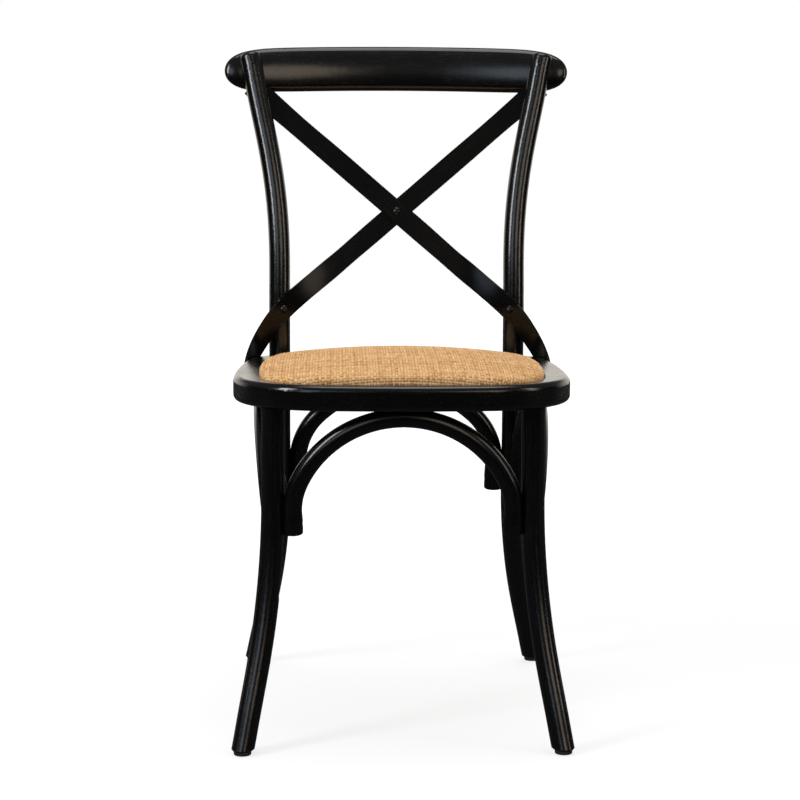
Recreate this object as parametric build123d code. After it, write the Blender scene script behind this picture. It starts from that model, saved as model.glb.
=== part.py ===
from build123d import *
import os
from collections import namedtuple
from functools import cache
from math import acos, atan, cos, degrees, hypot, pi, radians, sin, sqrt, tan

# Cross-back dining chair: bent round legs, bowed crest rail, two crossed straps,
# arched braces under the seat and a woven drop-in seat pad.
# Millimetres, +Z up, origin on the floor under the middle, the sitter faces -Y.

# Fits
WOOD_FIT = 0.15            # gap round a wooden joint
HOLE_FIT = 0.1             # gap round a screw or pin
SOFT_FIT = 0.3             # gap round foam and cover

# Seat frame
SEAT_HEIGHT = 462.0        # floor to the top of the frame
FRAME_THICKNESS = 32.0
FRAME_ROUND = 8.0          # rounding of the outer edges
FRAME_EASE = 1.5           # rounding of the rebate's top edge
SEAT_FRONT = -238.0        # middle of the front edge
SEAT_BACK = 152.0          # middle of the rear edge
SEAT_HALF_WIDTH = 216.0    # at the widest place
WIDEST_AT = -80.0          # depth of the widest place
SIDE_RADIUS = 1200.0       # bow of the sides
FRONT_RADIUS = 1130.0      # bow of the front edge
REAR_RADIUS = 1700.0       # bow of the rear edge
FRONT_CORNER_RADIUS = 122.0
REAR_CORNER_RADIUS = 88.0
REBATE_DEPTH = 14.0
LEDGE_WIDTH = 22.0         # ledge that carries the board

# Pad
PAD_SIDE_BORDER = 33.0     # frame left beside the pad
PAD_FRONT_BORDER = 19.0
PAD_REAR_BORDER = 26.0
PAD_WIDEST_AT = -90.0
PAD_SIDE_RADIUS = 480.0    # bows of the pad's edges
PAD_FRONT_RADIUS = 1100.0
PAD_REAR_RADIUS = 600.0
PAD_FRONT_CORNER_RADIUS = 76.0
PAD_REAR_CORNER_RADIUS = 104.0
COVER_THICKNESS = 2.0
COVER_FLANGE_THICKNESS = 1.5
COVER_FLANGE_WIDTH = 32.0  # turned under the board
BOARD_THICKNESS = 8.0
PAD_RISE = 24.0            # middle of the pad above the frame
PAD_CROWN_RADIUS = 1250.0
PAD_ROLL = 7.0             # radius of the rolled edge

# Front legs
LEG_RADIUS = 15.0
LEG_FOOT_RADIUS = 14.25
LEG_SIDE_INSET = 53.0      # leg axis from the widest place of the frame
LEG_FRONT_INSET = 51.0     # leg axis from the front edge
LEG_BEND_BELOW = 110.0     # the legs bend from this far under the frame
LEG_BEND_SHARE = 0.71      # share of the run below that is curved
LEG_SPLAY_OUT = 38.5
LEG_SPLAY_FORWARD = 53.0
TENON_RADIUS = 11.0
TENON_LENGTH = 15.0
FOOT_CHAMFER = 2.5

# Rear legs with back posts
POST_RADIUS = 14.5
POST_FOOT_RADIUS = 13.75
POST_SIDE_INSET = 53.5
POST_BACK_INSET = 13.0
POST_RISE = 414.0          # top of the posts above the frame
POST_TOP_ROUND = 6.0
FLARE_ABOVE = 128.0        # the posts spread from this far above the frame
FLARE_SHARE = 0.58
FLARE = 43.0
RAKE_ABOVE = 28.0          # the posts lean back from this far above the frame
RAKE_SHARE = 0.48
RAKE = 65.0
REAR_SPLAY_BELOW = 150.0   # the rear legs spread from this far under the frame
REAR_SPLAY_SHARE = 0.68
REAR_SPLAY_OUT = 41.5
SWEEP_BELOW = 30.0         # the rear legs sweep back from this far under the frame
SWEEP_SHARE = 0.7
SWEEP = 101.0
ROD_SPACING = 46.0         # distance between the circles a bent rod is drawn through

# Crest rail
RAIL_HALF_LENGTH = 240.0
RAIL_HEIGHT = 63.0
RAIL_THICKNESS = 26.0
RAIL_RISE = 426.0          # top of the rail above the frame
RAIL_BOW_RADIUS = 900.0
RAIL_DROP = 3.5            # the rail sinks this much from its middle to the posts
RAIL_EDGE_SHARE = 0.78     # radius of the rounded top and bottom, share of half thickness
RAIL_HOUSING = 11.0        # depth the posts are let into the rail
RAIL_END_POWER = 10.0      # how abruptly the ends round off in height
RAIL_END_THIN_POWER = 14.0 # and in thickness
RAIL_END_SHARE = 0.9       # most thickness of the rounded ends, share of their height
RAIL_STATIONS = [0.0, 0.25, 0.5, 0.7, 0.8, 0.87, 0.92, 0.955, 0.98, 0.994, 0.9995]

# Crossed straps
STRAP_WIDTH = 28.0
STRAP_THICKNESS = 4.0
STRAP_GAP = 0.3            # between the straps at the crossing
CROSS_RISE = 196.0         # crossing of the straps above the frame
BOLT_RISE = 63.0           # bolts that hold the straps to the posts, above the frame
BOLT_TURN = 25.0           # the strap has turned this far forward at the bolt
BOLT_SLOPE = 42.0
STRAP_SEAT = 1.5           # depth of the flat cut in the post under the strap
STRAP_SET_BACK = 9.0       # straight run of the strap behind the bolt
STRAP_EASE_AT = 90.0       # the strap leaves its straight run this far from the middle
STRAP_FOOT_TURN = 64.5     # place of the strap foot round the frame's rear corner, from the back
STRAP_FOOT_SLOPE = 45.0
STRAP_FOOT_PROUD = 0.6     # middle of the strap foot outside the frame
STRAP_LAP = 19.0           # height that the strap foot laps over the frame
STRAP_WRAP = 14.0          # the strap bends round the corner from this far above the frame
STRAP_HOUSING_FIT = 0.5    # gap beside the strap foot in its housing
STRAP_RAIL_SLOT = 11.0     # height let into the underside of the rail
STRAP_OVERRUN = 9.0        # length past the axis of the post at the top

# Arched braces
HOOP_RADIUS = 12.0
HOOP_DROP = 160.0          # frame underside to the ends of a hoop
HOOP_SADDLE = 1.5          # depth the legs are let into the hoop ends
HOOP_FLAT = 1.0            # flat planed on the crown
HOOP_STRAIGHT = 30.0       # straight ends of the front and side hoops
HOOP_HAUNCH = 88.0         # radius of their shoulders
REAR_HOOP_STRAIGHT = 40.0
REAR_HOOP_HAUNCH = 92.0
HOOP_END_SWELL = 1.2       # the ends are left thicker
HOOP_SWELL_SHARE = 0.5     # share of the straight end with the full thickness
FRONT_HOOP_CROWN = 32.0    # crown from the front edge of the frame
REAR_HOOP_CROWN = 18.0     # crown from the rear edge of the frame
SIDE_HOOP_CROWN = 36.0     # crown from the widest place of the frame

# Fixings: shank radius, shank length, head radius, head height
SCREW_TIP_SHARE = 0.1      # blunt end of a screw's point, share of its shank radius
HOOP_SCREW = (2.0, 30.0, 3.8, 2.2)
HOOP_SCREW_LOW = 13.0      # screws of the front and rear hoops above the hoop ends
HOOP_SCREW_HIGH = 27.0     # screws of the side hoops above the hoop ends
HOOP_SCREW_SINK = 5.0
CROWN_SCREW = (2.0, 30.0, 3.8, 2.2)
CROWN_SCREW_SINK = 7.0
BOARD_SCREW = (1.8, 20.0, 3.6, 2.0)
BOARD_SCREW_SINK = 4.0
BOARD_SCREW_X = 80.0
LOCK_SCREW = (1.75, 22.0, 3.4, 2.0)
LOCK_SCREW_REACH = 17.0    # head from the axis of the leg
LAG_SCREW = (3.2, 52.0, 5.5, 3.5)
LAG_SCREW_SINK = 8.0
PLUG_RISE = 1.2
RAIL_PIN = (1.75, 36.0, 3.0, 1.6)
RAIL_PIN_BELOW = 28.0      # under the top of the rail
RAIL_PIN_SINK = 0.8
STRAP_BOLT = (2.2, 30.0, 5.6, 3.2)
CAP_NUT_RADIUS = 4.0
CAP_NUT_HEIGHT = 3.5
CAP_NUT_SINK = 1.2
TOP_SCREW = (1.6, 16.0, 3.2, 1.6)
TOP_SCREW_BELOW = 15.0     # under the crest rail
TOP_SCREW_INSET = 5.5      # towards the middle from the axis of the post
FOOT_SCREW = (1.6, 18.0, 3.4, 1.8)
FOOT_SCREW_BELOW = 9.0     # under the top of the frame
RIVET_RADIUS = 2.5
RIVET_HEAD_RADIUS = 6.0
RIVET_HEAD_HEIGHT = 3.4
RIVET_TAIL_RADIUS = 4.0
RIVET_TAIL_HEIGHT = 1.8
WASHER_RADIUS = 6.5
WASHER_THICKNESS = 1.2
STAPLE_CROWN = 10.0
STAPLE_LEG = 6.0
STAPLE_WIRE = 0.9
STAPLE_COUNT = 24
GLIDE_RADIUS = 11.0
GLIDE_THICKNESS = 5.0
GLIDE_ROUND = 1.5
NAIL_RADIUS = 1.5
NAIL_LENGTH = 18.0
NAIL_HEAD_RADIUS = 4.0
NAIL_HEAD_HEIGHT = 1.0
NAIL_SINK = 2.0

# Derived heights and places
FRAME_BOTTOM = SEAT_HEIGHT - FRAME_THICKNESS
LEDGE_HEIGHT = SEAT_HEIGHT - REBATE_DEPTH
BOARD_BOTTOM = LEDGE_HEIGHT + COVER_FLANGE_THICKNESS
BOARD_TOP = BOARD_BOTTOM + BOARD_THICKNESS
HOOP_END = FRAME_BOTTOM - HOOP_DROP
HOOP_CROWN = FRAME_BOTTOM + HOOP_FLAT - HOOP_RADIUS
LEG_X = SEAT_HALF_WIDTH - LEG_SIDE_INSET
LEG_Y = SEAT_FRONT + LEG_FRONT_INSET
LEG_BEND_HEIGHT = FRAME_BOTTOM - LEG_BEND_BELOW
POST_X = SEAT_HALF_WIDTH - POST_SIDE_INSET
POST_Y = SEAT_BACK - POST_BACK_INSET
POST_TOP = SEAT_HEIGHT + POST_RISE
FLARE_HEIGHT = SEAT_HEIGHT + FLARE_ABOVE
RAKE_HEIGHT = SEAT_HEIGHT + RAKE_ABOVE
REAR_SPLAY_HEIGHT = FRAME_BOTTOM - REAR_SPLAY_BELOW
SWEEP_HEIGHT = FRAME_BOTTOM - SWEEP_BELOW
CROSS_HEIGHT = SEAT_HEIGHT + CROSS_RISE
BOLT_HEIGHT = SEAT_HEIGHT + BOLT_RISE
RAIL_TOP = SEAT_HEIGHT + RAIL_RISE
RAIL_PIN_HEIGHT = RAIL_TOP - RAIL_PIN_BELOW
RAIL_MIDDLE = RAIL_TOP - RAIL_HEIGHT / 2
RAIL_BOTTOM = RAIL_TOP - RAIL_HEIGHT - RAIL_DROP
Outline = namedtuple(
    "Outline", "half_width widest_at front back side_radius front_radius rear_radius front_corner rear_corner"
)
FRAME_OUTLINE = Outline(
    SEAT_HALF_WIDTH, WIDEST_AT, SEAT_FRONT, SEAT_BACK,
    SIDE_RADIUS, FRONT_RADIUS, REAR_RADIUS, FRONT_CORNER_RADIUS, REAR_CORNER_RADIUS,
)
PAD_OUTLINE = Outline(
    SEAT_HALF_WIDTH - PAD_SIDE_BORDER, PAD_WIDEST_AT,
    SEAT_FRONT + PAD_FRONT_BORDER, SEAT_BACK - PAD_REAR_BORDER,
    PAD_SIDE_RADIUS, PAD_FRONT_RADIUS, PAD_REAR_RADIUS, PAD_FRONT_CORNER_RADIUS, PAD_REAR_CORNER_RADIUS,
)
PAST = 60.0                # how far cutters run past what they cut
STAND = (Align.CENTER, Align.CENTER, Align.MIN)  # standing on the origin
HANG = (Align.CENTER, Align.CENTER, Align.MAX)   # hanging from the origin


def bend_slope(whole_run, offset, share):
    """Slope at the end of a bend that carries an axis `offset` sideways over `whole_run`."""
    return 2 * offset / ((2 - share) * whole_run)


def bend_offset(run, whole_run, offset, share):
    """Sideways place of a bent axis: a parabola over `share` of the run, then a straight line."""
    curved_run = share * whole_run
    slope = bend_slope(whole_run, offset, share)
    in_curve = min(max(run, 0), curved_run)
    return slope * in_curve**2 / (2 * curved_run) + slope * max(run - curved_run, 0)


def leg_axis(z):
    """Axis of the right front leg: upright, then bent outward and forward."""
    splay = hypot(LEG_SPLAY_OUT, LEG_SPLAY_FORWARD)
    offset = bend_offset(LEG_BEND_HEIGHT - z, LEG_BEND_HEIGHT, splay, LEG_BEND_SHARE)
    share = offset / splay
    return Vector(LEG_X + share * LEG_SPLAY_OUT, LEG_Y - share * LEG_SPLAY_FORWARD, z)


def leg_radius(z):
    """Radius of a front leg, tapering to the foot."""
    return LEG_FOOT_RADIUS + (LEG_RADIUS - LEG_FOOT_RADIUS) * min(1, max(0, z / LEG_BEND_HEIGHT))


def post_axis(z):
    """Axis of the right rear leg and post: spread and leaning at both ends, upright through the seat."""
    flare = bend_offset(z - FLARE_HEIGHT, POST_TOP - FLARE_HEIGHT, FLARE, FLARE_SHARE)
    rake = bend_offset(z - RAKE_HEIGHT, POST_TOP - RAKE_HEIGHT, RAKE, RAKE_SHARE)
    splay = bend_offset(REAR_SPLAY_HEIGHT - z, REAR_SPLAY_HEIGHT, REAR_SPLAY_OUT, REAR_SPLAY_SHARE)
    sweep_back = bend_offset(SWEEP_HEIGHT - z, SWEEP_HEIGHT, SWEEP, SWEEP_SHARE)
    return Vector(POST_X + flare + splay, POST_Y + rake + sweep_back, z)


def post_radius(z):
    """Radius of a post, tapering to the foot."""
    return POST_FOOT_RADIUS + (POST_RADIUS - POST_FOOT_RADIUS) * min(1, max(0, z / REAR_SPLAY_HEIGHT))


def square_plane(origin, along, facing):
    """Plane square to `along` whose x direction is `facing` made square to it."""
    along = Vector(along).normalized()
    facing = Vector(facing)
    return Plane(origin=origin, x_dir=facing - along * facing.dot(along), z_dir=along)


def rod(axis, radius, bottom, top, grow=0.0):
    """Round rod from one height to another, drawn through circles square to its axis."""
    count = max(3, round((top - bottom) / ROD_SPACING))
    circles = []
    for step in range(count + 1):
        z = bottom + (top - bottom) * step / count
        plane = square_plane(axis(z), axis(z + 1) - axis(z - 1), (1, 0, 0))
        circles.append(plane * Circle(radius(z) + grow))
    return loft(circles)


def on_floor_side(shape, height):
    """The part of a shape above a level cut."""
    return split(shape, Plane.XY.offset(height), Keep.TOP)


@cache
def leg_body(grow=0.0):
    """Right front leg up to the underside of the frame."""
    return rod(leg_axis, leg_radius, -GLIDE_THICKNESS, FRAME_BOTTOM, grow)


@cache
def post_body(grow=0.0):
    """Right rear leg and post in one piece."""
    return rod(post_axis, post_radius, -GLIDE_THICKNESS, POST_TOP, grow)


def flipped(point):
    """A point on the right carried over to the left."""
    return Vector(-point.X, point.Y, point.Z)


def both_sides(shape):
    """A shape on the right together with its mirror image on the left."""
    return [shape, mirror(shape, Plane.YZ)]


def upright(radius, height, x, y, z):
    """Upright cylinder standing on a point."""
    return Pos(x, y, z) * Cylinder(radius, height, align=STAND)


def dome(radius, height):
    """Spherical cap standing on z = 0."""
    ball = (radius**2 + height**2) / (2 * height)
    return split(Pos(0, 0, height - ball) * Sphere(ball), Plane.XY, Keep.TOP)


def facing(origin, outward):
    """Plane at a point with z pointing outward."""
    return Plane(origin=origin, z_dir=outward)


def screw(spec, origin, outward, domed=False):
    """Screw with its head seated at a point; the shank runs inward and ends in a point."""
    shank, length, head, head_height = spec
    tip = 2 * shank
    body = Cylinder(shank, length - tip, align=HANG)
    body += Pos(0, 0, tip - length) * Cone(SCREW_TIP_SHARE * shank, shank, tip, align=HANG)
    if domed:
        body += dome(head, head_height)
    else:
        cap = Cylinder(head, head_height, align=STAND)
        body += fillet(cap.edges().group_by(Axis.Z)[-1], head_height / 3)
    return facing(origin, outward) * body


def screw_hole(spec, origin, outward, sink=0.0):
    """Hole for a screw: shank bore below the seat and a head bore that opens outward."""
    shank, length, head, _ = spec
    bore = Cylinder(shank + HOLE_FIT, length + HOLE_FIT, align=HANG)
    if sink > 0:
        bore += Cylinder(head + HOLE_FIT, sink, align=STAND)
    return facing(origin, outward) * bore


def side_centre(outline):
    """Centre of the right side arc of an outline."""
    return Vector(outline.half_width - outline.side_radius, outline.widest_at)


def corner_centre(outline, radius, end_centre, end_radius):
    """Centre of a right-hand corner arc that touches the side arc and an end arc from inside."""
    side = side_centre(outline)
    side_reach = outline.side_radius - radius
    end_reach = end_radius - radius
    apart = (end_centre - side).length
    along = (end_centre - side) / apart
    across = Vector(-along.Y, along.X)
    run = (side_reach**2 - end_reach**2 + apart**2) / (2 * apart)
    rise = sqrt(side_reach**2 - run**2)
    options = [side + along * run + across * sign * rise for sign in (1, -1)]
    return max(options, key=lambda point: point.X)


def front_corner_centre(outline):
    """Centre of the right front corner and of the front arc."""
    end = Vector(0, outline.front + outline.front_radius)
    return corner_centre(outline, outline.front_corner, end, outline.front_radius), end


def rear_corner_centre(outline):
    """Centre of the right rear corner and of the rear arc."""
    end = Vector(0, outline.back - outline.rear_radius)
    return corner_centre(outline, outline.rear_corner, end, outline.rear_radius), end


@cache
def outline_face(outline, inset=0.0):
    """An outline drawn in by `inset`: four bowed sides with rounded corners."""
    right = []
    for radius, (corner, end) in (
        (outline.front_corner, front_corner_centre(outline)),
        (outline.rear_corner, rear_corner_centre(outline)),
    ):
        to_end = (corner - end).normalized()
        to_side = (corner - side_centre(outline)).normalized()
        between = (to_end + to_side).normalized()
        right.append([corner + way * (radius - inset) for way in (to_end, between, to_side)])
    (front, front_mid, side_front), (rear, rear_mid, side_rear) = right
    widest = Vector(outline.half_width - inset, outline.widest_at)
    arcs = [(front, front_mid, side_front), (side_front, widest, side_rear), (side_rear, rear_mid, rear)]
    edges = [ThreePointArc(flipped(front), (0, outline.front + inset), front)]
    edges += [ThreePointArc(*points) for points in arcs]
    edges += [ThreePointArc(rear, (0, outline.back - inset), flipped(rear))]
    edges += [ThreePointArc(*[flipped(point) for point in reversed(points)]) for points in reversed(arcs)]
    return make_face(Curve() + edges)


def slab(outline, inset, bottom, top):
    """Level slab with an outline drawn in by `inset`."""
    return extrude(Pos(0, 0, bottom) * outline_face(outline, inset), top - bottom)


def crowned_pad(inset, bottom, drop):
    """Pad with upright sides, a rolled edge and a crown; its surface lies `drop` inside the cover's."""
    radius = PAD_CROWN_RADIUS - drop
    middle = (PAD_OUTLINE.front + PAD_OUTLINE.back) / 2
    top = SEAT_HEIGHT + PAD_RISE
    ball = Pos(0, middle, top - PAD_CROWN_RADIUS) * Sphere(radius)
    pad = slab(PAD_OUTLINE, inset, bottom, top + PAST) & ball
    return fillet(pad.faces().sort_by(Axis.Z)[-1].edges(), PAD_ROLL - drop)


def seat_cover():
    """Woven cover: crowned top, sides and a flange turned under the board."""
    cover = crowned_pad(SOFT_FIT, LEDGE_HEIGHT, 0.0)
    cover -= crowned_pad(SOFT_FIT + COVER_THICKNESS, BOARD_BOTTOM, COVER_THICKNESS)
    cover -= slab(PAD_OUTLINE, COVER_FLANGE_WIDTH, LEDGE_HEIGHT - PAST, BOARD_TOP)
    for origin in board_screw_seats():
        cover -= screw_hole(BOARD_SCREW, origin, (0, 0, -1))
    return cover - staple_holes()


def seat_board():
    """Plywood board that lies on the flange of the cover."""
    board = slab(PAD_OUTLINE, 2 * SOFT_FIT + COVER_THICKNESS, BOARD_BOTTOM, BOARD_TOP)
    for origin in board_screw_seats():
        board -= screw_hole(BOARD_SCREW, origin, (0, 0, -1))
    return board - staple_holes()


def seat_foam():
    """Foam pad on the board, a little inside the cover."""
    return crowned_pad(2 * SOFT_FIT + COVER_THICKNESS, BOARD_TOP, COVER_THICKNESS + SOFT_FIT)


def staple_places():
    """Places of the staples under the board, along a line inside the ledge."""
    line = outline_face(PAD_OUTLINE, (LEDGE_WIDTH + COVER_FLANGE_WIDTH) / 2).wire()
    places = []
    for step in range(STAPLE_COUNT):
        share = (step + 0.5) / STAPLE_COUNT
        along = line.tangent_at(share)
        places.append(Plane(origin=line.position_at(share) + Vector(0, 0, LEDGE_HEIGHT), x_dir=along))
    return places


def staple():
    """One staple, crown down, legs up."""
    crown = Pos(0, 0, -STAPLE_WIRE / 2) * Box(STAPLE_CROWN + STAPLE_WIRE, STAPLE_WIRE, STAPLE_WIRE)
    leg = Box(STAPLE_WIRE, STAPLE_WIRE, STAPLE_LEG, align=STAND)
    return crown + Pos(STAPLE_CROWN / 2, 0, 0) * leg + Pos(-STAPLE_CROWN / 2, 0, 0) * leg


def staple_holes():
    """Holes for the legs of all staples."""
    size = STAPLE_WIRE + 2 * HOLE_FIT
    hole = Box(size, size, STAPLE_LEG + HOLE_FIT, align=STAND)
    holes = []
    for place in staple_places():
        holes.append(place * Pos(STAPLE_CROWN / 2, 0, 0) * hole)
        holes.append(place * Pos(-STAPLE_CROWN / 2, 0, 0) * hole)
    return holes


def bow_at(x, radius):
    """Fall of an arc from its middle, `x` to one side."""
    return radius - sqrt(radius**2 - x**2)


def board_screw_seats():
    """Head seats of the screws that come up through the ledge."""
    front = PAD_OUTLINE.front + bow_at(BOARD_SCREW_X, PAD_FRONT_RADIUS) + LEDGE_WIDTH / 2
    rear = PAD_OUTLINE.back - bow_at(BOARD_SCREW_X, PAD_REAR_RADIUS) - LEDGE_WIDTH / 2
    z = FRAME_BOTTOM + BOARD_SCREW_SINK
    return [Vector(side * BOARD_SCREW_X, y, z) for side in (1, -1) for y in (front, rear)]


def lock_screw_seat():
    """Head seat and outward direction of the screw that locks the right leg tenon."""
    outward = Vector(-LEG_SPLAY_OUT, LEG_SPLAY_FORWARD, 0).normalized()
    return Vector(LEG_X, LEG_Y, FRAME_BOTTOM + TENON_LENGTH / 2) + outward * LOCK_SCREW_REACH, outward


def lag_screw_seat():
    """Head seat of the lag screw in the back of the right post, level with the ledge."""
    z = (FRAME_BOTTOM + LEDGE_HEIGHT) / 2
    return Vector(POST_X, POST_Y + POST_RADIUS - LAG_SCREW_SINK, z)


def strap_bolt_place():
    """Middle of the strap at the right bolt and the direction it faces, square to the post."""
    outward = Vector(-sin(radians(BOLT_TURN)), -cos(radians(BOLT_TURN)), 0)
    reach = POST_RADIUS - STRAP_SEAT + STRAP_THICKNESS / 2
    return post_axis(BOLT_HEIGHT) + outward * reach, outward


def strap_lean():
    """Depth of the straps at the crossing and the slope of their straight run towards the back."""
    low = strap_bolt_place()[0].Y + STRAP_SET_BACK
    high = post_axis(RAIL_BOTTOM).Y + POST_RADIUS - STRAP_SEAT + STRAP_THICKNESS / 2
    slope = (high - low) / (RAIL_BOTTOM - BOLT_HEIGHT)
    return low + slope * (CROSS_HEIGHT - BOLT_HEIGHT), slope


def strap_straight(side, x):
    """Point on the straight run of the strap with its foot on `side`, `x` towards that foot."""
    bolt = strap_bolt_place()[0]
    fall = (CROSS_HEIGHT - BOLT_HEIGHT) / bolt.X
    depth, slope = strap_lean()
    reach = bolt.X if x > 0 else strap_top_x()
    spring = side * (STRAP_THICKNESS + STRAP_GAP) / 2 * cos(pi / 2 * min(1, abs(x) / reach))
    return Vector(side * x, depth - slope * fall * x, CROSS_HEIGHT - fall * x) + strap_front() * spring


def strap_front():
    """Direction the straight run of the straps faces."""
    slope = strap_lean()[1]
    return Vector(0, -1, slope).normalized()


def strap_top_x():
    """Distance of the strap ends from the middle, behind the posts."""
    return post_axis(RAIL_BOTTOM).X + STRAP_OVERRUN


def eased(start, start_along, end, end_along, share):
    """Point on the cubic curve that leaves and arrives along two directions."""
    pull = (end - start).length / 3
    first = start + start_along * pull
    second = end - end_along * pull
    rest = 1 - share
    return start * rest**3 + first * (3 * rest**2 * share) + second * (3 * rest * share**2) + end * share**3


def on_side(side, point):
    """A point or direction on the right carried over to `side`."""
    return Vector(side * point.X, point.Y, point.Z)


def strap_foot_place(below):
    """Middle of the right strap on the frame's rear corner, `below` the frame's top, and its way outward."""
    corner = rear_corner_centre(FRAME_OUTLINE)[0]
    turn = radians(STRAP_FOOT_TURN) + below / tan(radians(STRAP_FOOT_SLOPE)) / REAR_CORNER_RADIUS
    outward = Vector(sin(turn), cos(turn), 0)
    reach = REAR_CORNER_RADIUS + STRAP_FOOT_PROUD
    return Vector(corner.X, corner.Y, SEAT_HEIGHT - below) + outward * reach, outward


def strap_foot_along(outward):
    """Direction of the right strap where the frame's corner faces `outward`, falling as it comes forward."""
    slope = radians(STRAP_FOOT_SLOPE)
    return Vector(cos(slope) * outward.Y, -cos(slope) * outward.X, -sin(slope))


def strap_housing():
    """Housing for the right strap foot: a slanting band of even depth round the frame's corner."""
    corner = rear_corner_centre(FRAME_OUTLINE)[0]
    floor = REAR_CORNER_RADIUS + STRAP_FOOT_PROUD - STRAP_THICKNESS / 2 - WOOD_FIT
    ring = upright(REAR_CORNER_RADIUS + PAST, FRAME_THICKNESS + PAST, corner.X, corner.Y, FRAME_BOTTOM)
    ring -= upright(floor, FRAME_THICKNESS + PAST, corner.X, corner.Y, FRAME_BOTTOM)
    middle, outward = strap_foot_place(STRAP_LAP / 2)
    end = STRAP_LAP / 2 / sin(radians(STRAP_FOOT_SLOPE)) + STRAP_HOUSING_FIT
    band = Box(
        2 * PAST, STRAP_WIDTH + 2 * STRAP_HOUSING_FIT, PAST, align=(Align.MAX, Align.CENTER, Align.CENTER)
    )
    return ring & Plane(origin=middle, x_dir=strap_foot_along(outward), z_dir=outward) * Pos(end, 0, 0) * band


def strap_stations(side):
    """Points and facing directions along the middle of a strap, from its top end to its foot."""
    bolt, bolt_out = [on_side(side, vector) for vector in strap_bolt_place()]
    turn, slope = radians(BOLT_TURN), radians(BOLT_SLOPE)
    bolt_along = Vector(side * cos(slope) * cos(turn), -cos(slope) * sin(turn), -sin(slope))
    wrap, outward = strap_foot_place(-STRAP_WRAP)
    foot, foot_outward, foot_along = [
        on_side(side, vector) for vector in (wrap, outward, strap_foot_along(outward))
    ]
    front = strap_front()
    stations = []
    for share in (-1, -0.75, -0.5, -0.25):
        stations.append((strap_straight(side, share * strap_top_x()), front))
    for share in (0, 0.5, 1):
        stations.append((strap_straight(side, share * STRAP_EASE_AT), front))
    ease = stations[-1][0]
    ease_along = (ease - strap_straight(side, STRAP_EASE_AT - 1)).normalized()
    for share in (0.33, 0.67, 1):
        point = eased(ease, ease_along, bolt, bolt_along, share)
        stations.append((point, front * (1 - share) + bolt_out * share))
    for share in (0.25, 0.5, 0.75, 1):
        point = eased(bolt, bolt_along, foot, foot_along, share)
        stations.append((point, bolt_out * (1 - share) - foot_outward * share))
    for share in (0.25, 0.5, 0.75, 1):
        point, outward = strap_foot_place(share * (STRAP_WRAP + STRAP_LAP) - STRAP_WRAP)
        stations.append((on_side(side, point), -on_side(side, outward)))
    return stations


@cache
def strap_body(side, grow=0.0):
    """Flat strap drawn through rectangles, with its top end trimmed inside the crest rail."""
    stations = strap_stations(side)
    sections = []
    for index, (point, out) in enumerate(stations):
        before = stations[max(0, index - 1)][0]
        after = stations[min(len(stations) - 1, index + 1)][0]
        plane = square_plane(point, after - before, out)
        sections.append(plane * Rectangle(STRAP_THICKNESS + 2 * grow, STRAP_WIDTH + 2 * grow))
    trim = RAIL_BOTTOM + STRAP_RAIL_SLOT + grow
    above = Pos(0, 0, trim) * Box(4 * POST_X, 4 * POST_Y, PAST, align=STAND)
    return loft(sections) - above


def strap_bolt_seat(side):
    """Head seat of a strap bolt and its outward direction."""
    point, outward = [on_side(side, vector) for vector in strap_bolt_place()]
    return point + outward * (STRAP_THICKNESS / 2), outward


def foot_screw_seat(side):
    """Head seat of the screw through a strap foot into the frame and its outward direction."""
    point, outward = [on_side(side, vector) for vector in strap_foot_place(FOOT_SCREW_BELOW)]
    return point + outward * (STRAP_THICKNESS / 2), outward


def top_screw_seat(side):
    """Head seat of the screw behind a strap top and its outward direction; `side` is the post's."""
    z = RAIL_BOTTOM - TOP_SCREW_BELOW
    depth, slope = strap_lean()
    point = Vector(side * (post_axis(z).X - TOP_SCREW_INSET), depth + slope * (z - CROSS_HEIGHT), z)
    outward = -strap_front()
    return point + outward * (STRAP_THICKNESS / 2), outward


def cross_strap(side):
    """One strap with the holes for its bolt, its two screws and the crossing rivet."""
    strap = strap_body(side)
    strap -= screw_hole(STRAP_BOLT, *strap_bolt_seat(side), PAST)
    strap -= screw_hole(TOP_SCREW, *top_screw_seat(-side), PAST)
    strap -= screw_hole(FOOT_SCREW, *foot_screw_seat(side), PAST)
    return strap - rivet_bore()


def rivet_place():
    """Crossing of the straps, halfway between them, facing the front."""
    return facing(Vector(0, strap_lean()[0], CROSS_HEIGHT), strap_front())


def rivet_bore():
    """Bore for the rivet through both straps."""
    return rivet_place() * Cylinder(RIVET_RADIUS + HOLE_FIT, PAST)


def cross_rivet():
    """Domed rivet through the crossing, closed over its washer."""
    front = STRAP_THICKNESS + STRAP_GAP
    back = front + WASHER_THICKNESS
    body = Pos(0, 0, (front - back) / 2) * Cylinder(RIVET_RADIUS, front + back)
    body += Pos(0, 0, front) * dome(RIVET_HEAD_RADIUS, RIVET_HEAD_HEIGHT)
    body += Pos(0, 0, -back) * mirror(dome(RIVET_TAIL_RADIUS, RIVET_TAIL_HEIGHT), Plane.XY)
    return rivet_place() * body


def cross_rivet_washer():
    """Washer under the closed end of the rivet."""
    ring = Cylinder(WASHER_RADIUS, WASHER_THICKNESS) - Cylinder(RIVET_RADIUS + HOLE_FIT, WASHER_THICKNESS)
    return rivet_place() * Pos(0, 0, -STRAP_THICKNESS - STRAP_GAP - WASHER_THICKNESS / 2) * ring


def rail_depth(x):
    """Depth of the middle of the crest rail, bowed back between the posts."""
    post = post_axis(RAIL_MIDDLE)
    at_post = post.Y + POST_RADIUS + RAIL_THICKNESS / 2 - RAIL_HOUSING
    return at_post + sqrt(RAIL_BOW_RADIUS**2 - x**2) - sqrt(RAIL_BOW_RADIUS**2 - post.X**2)


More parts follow.
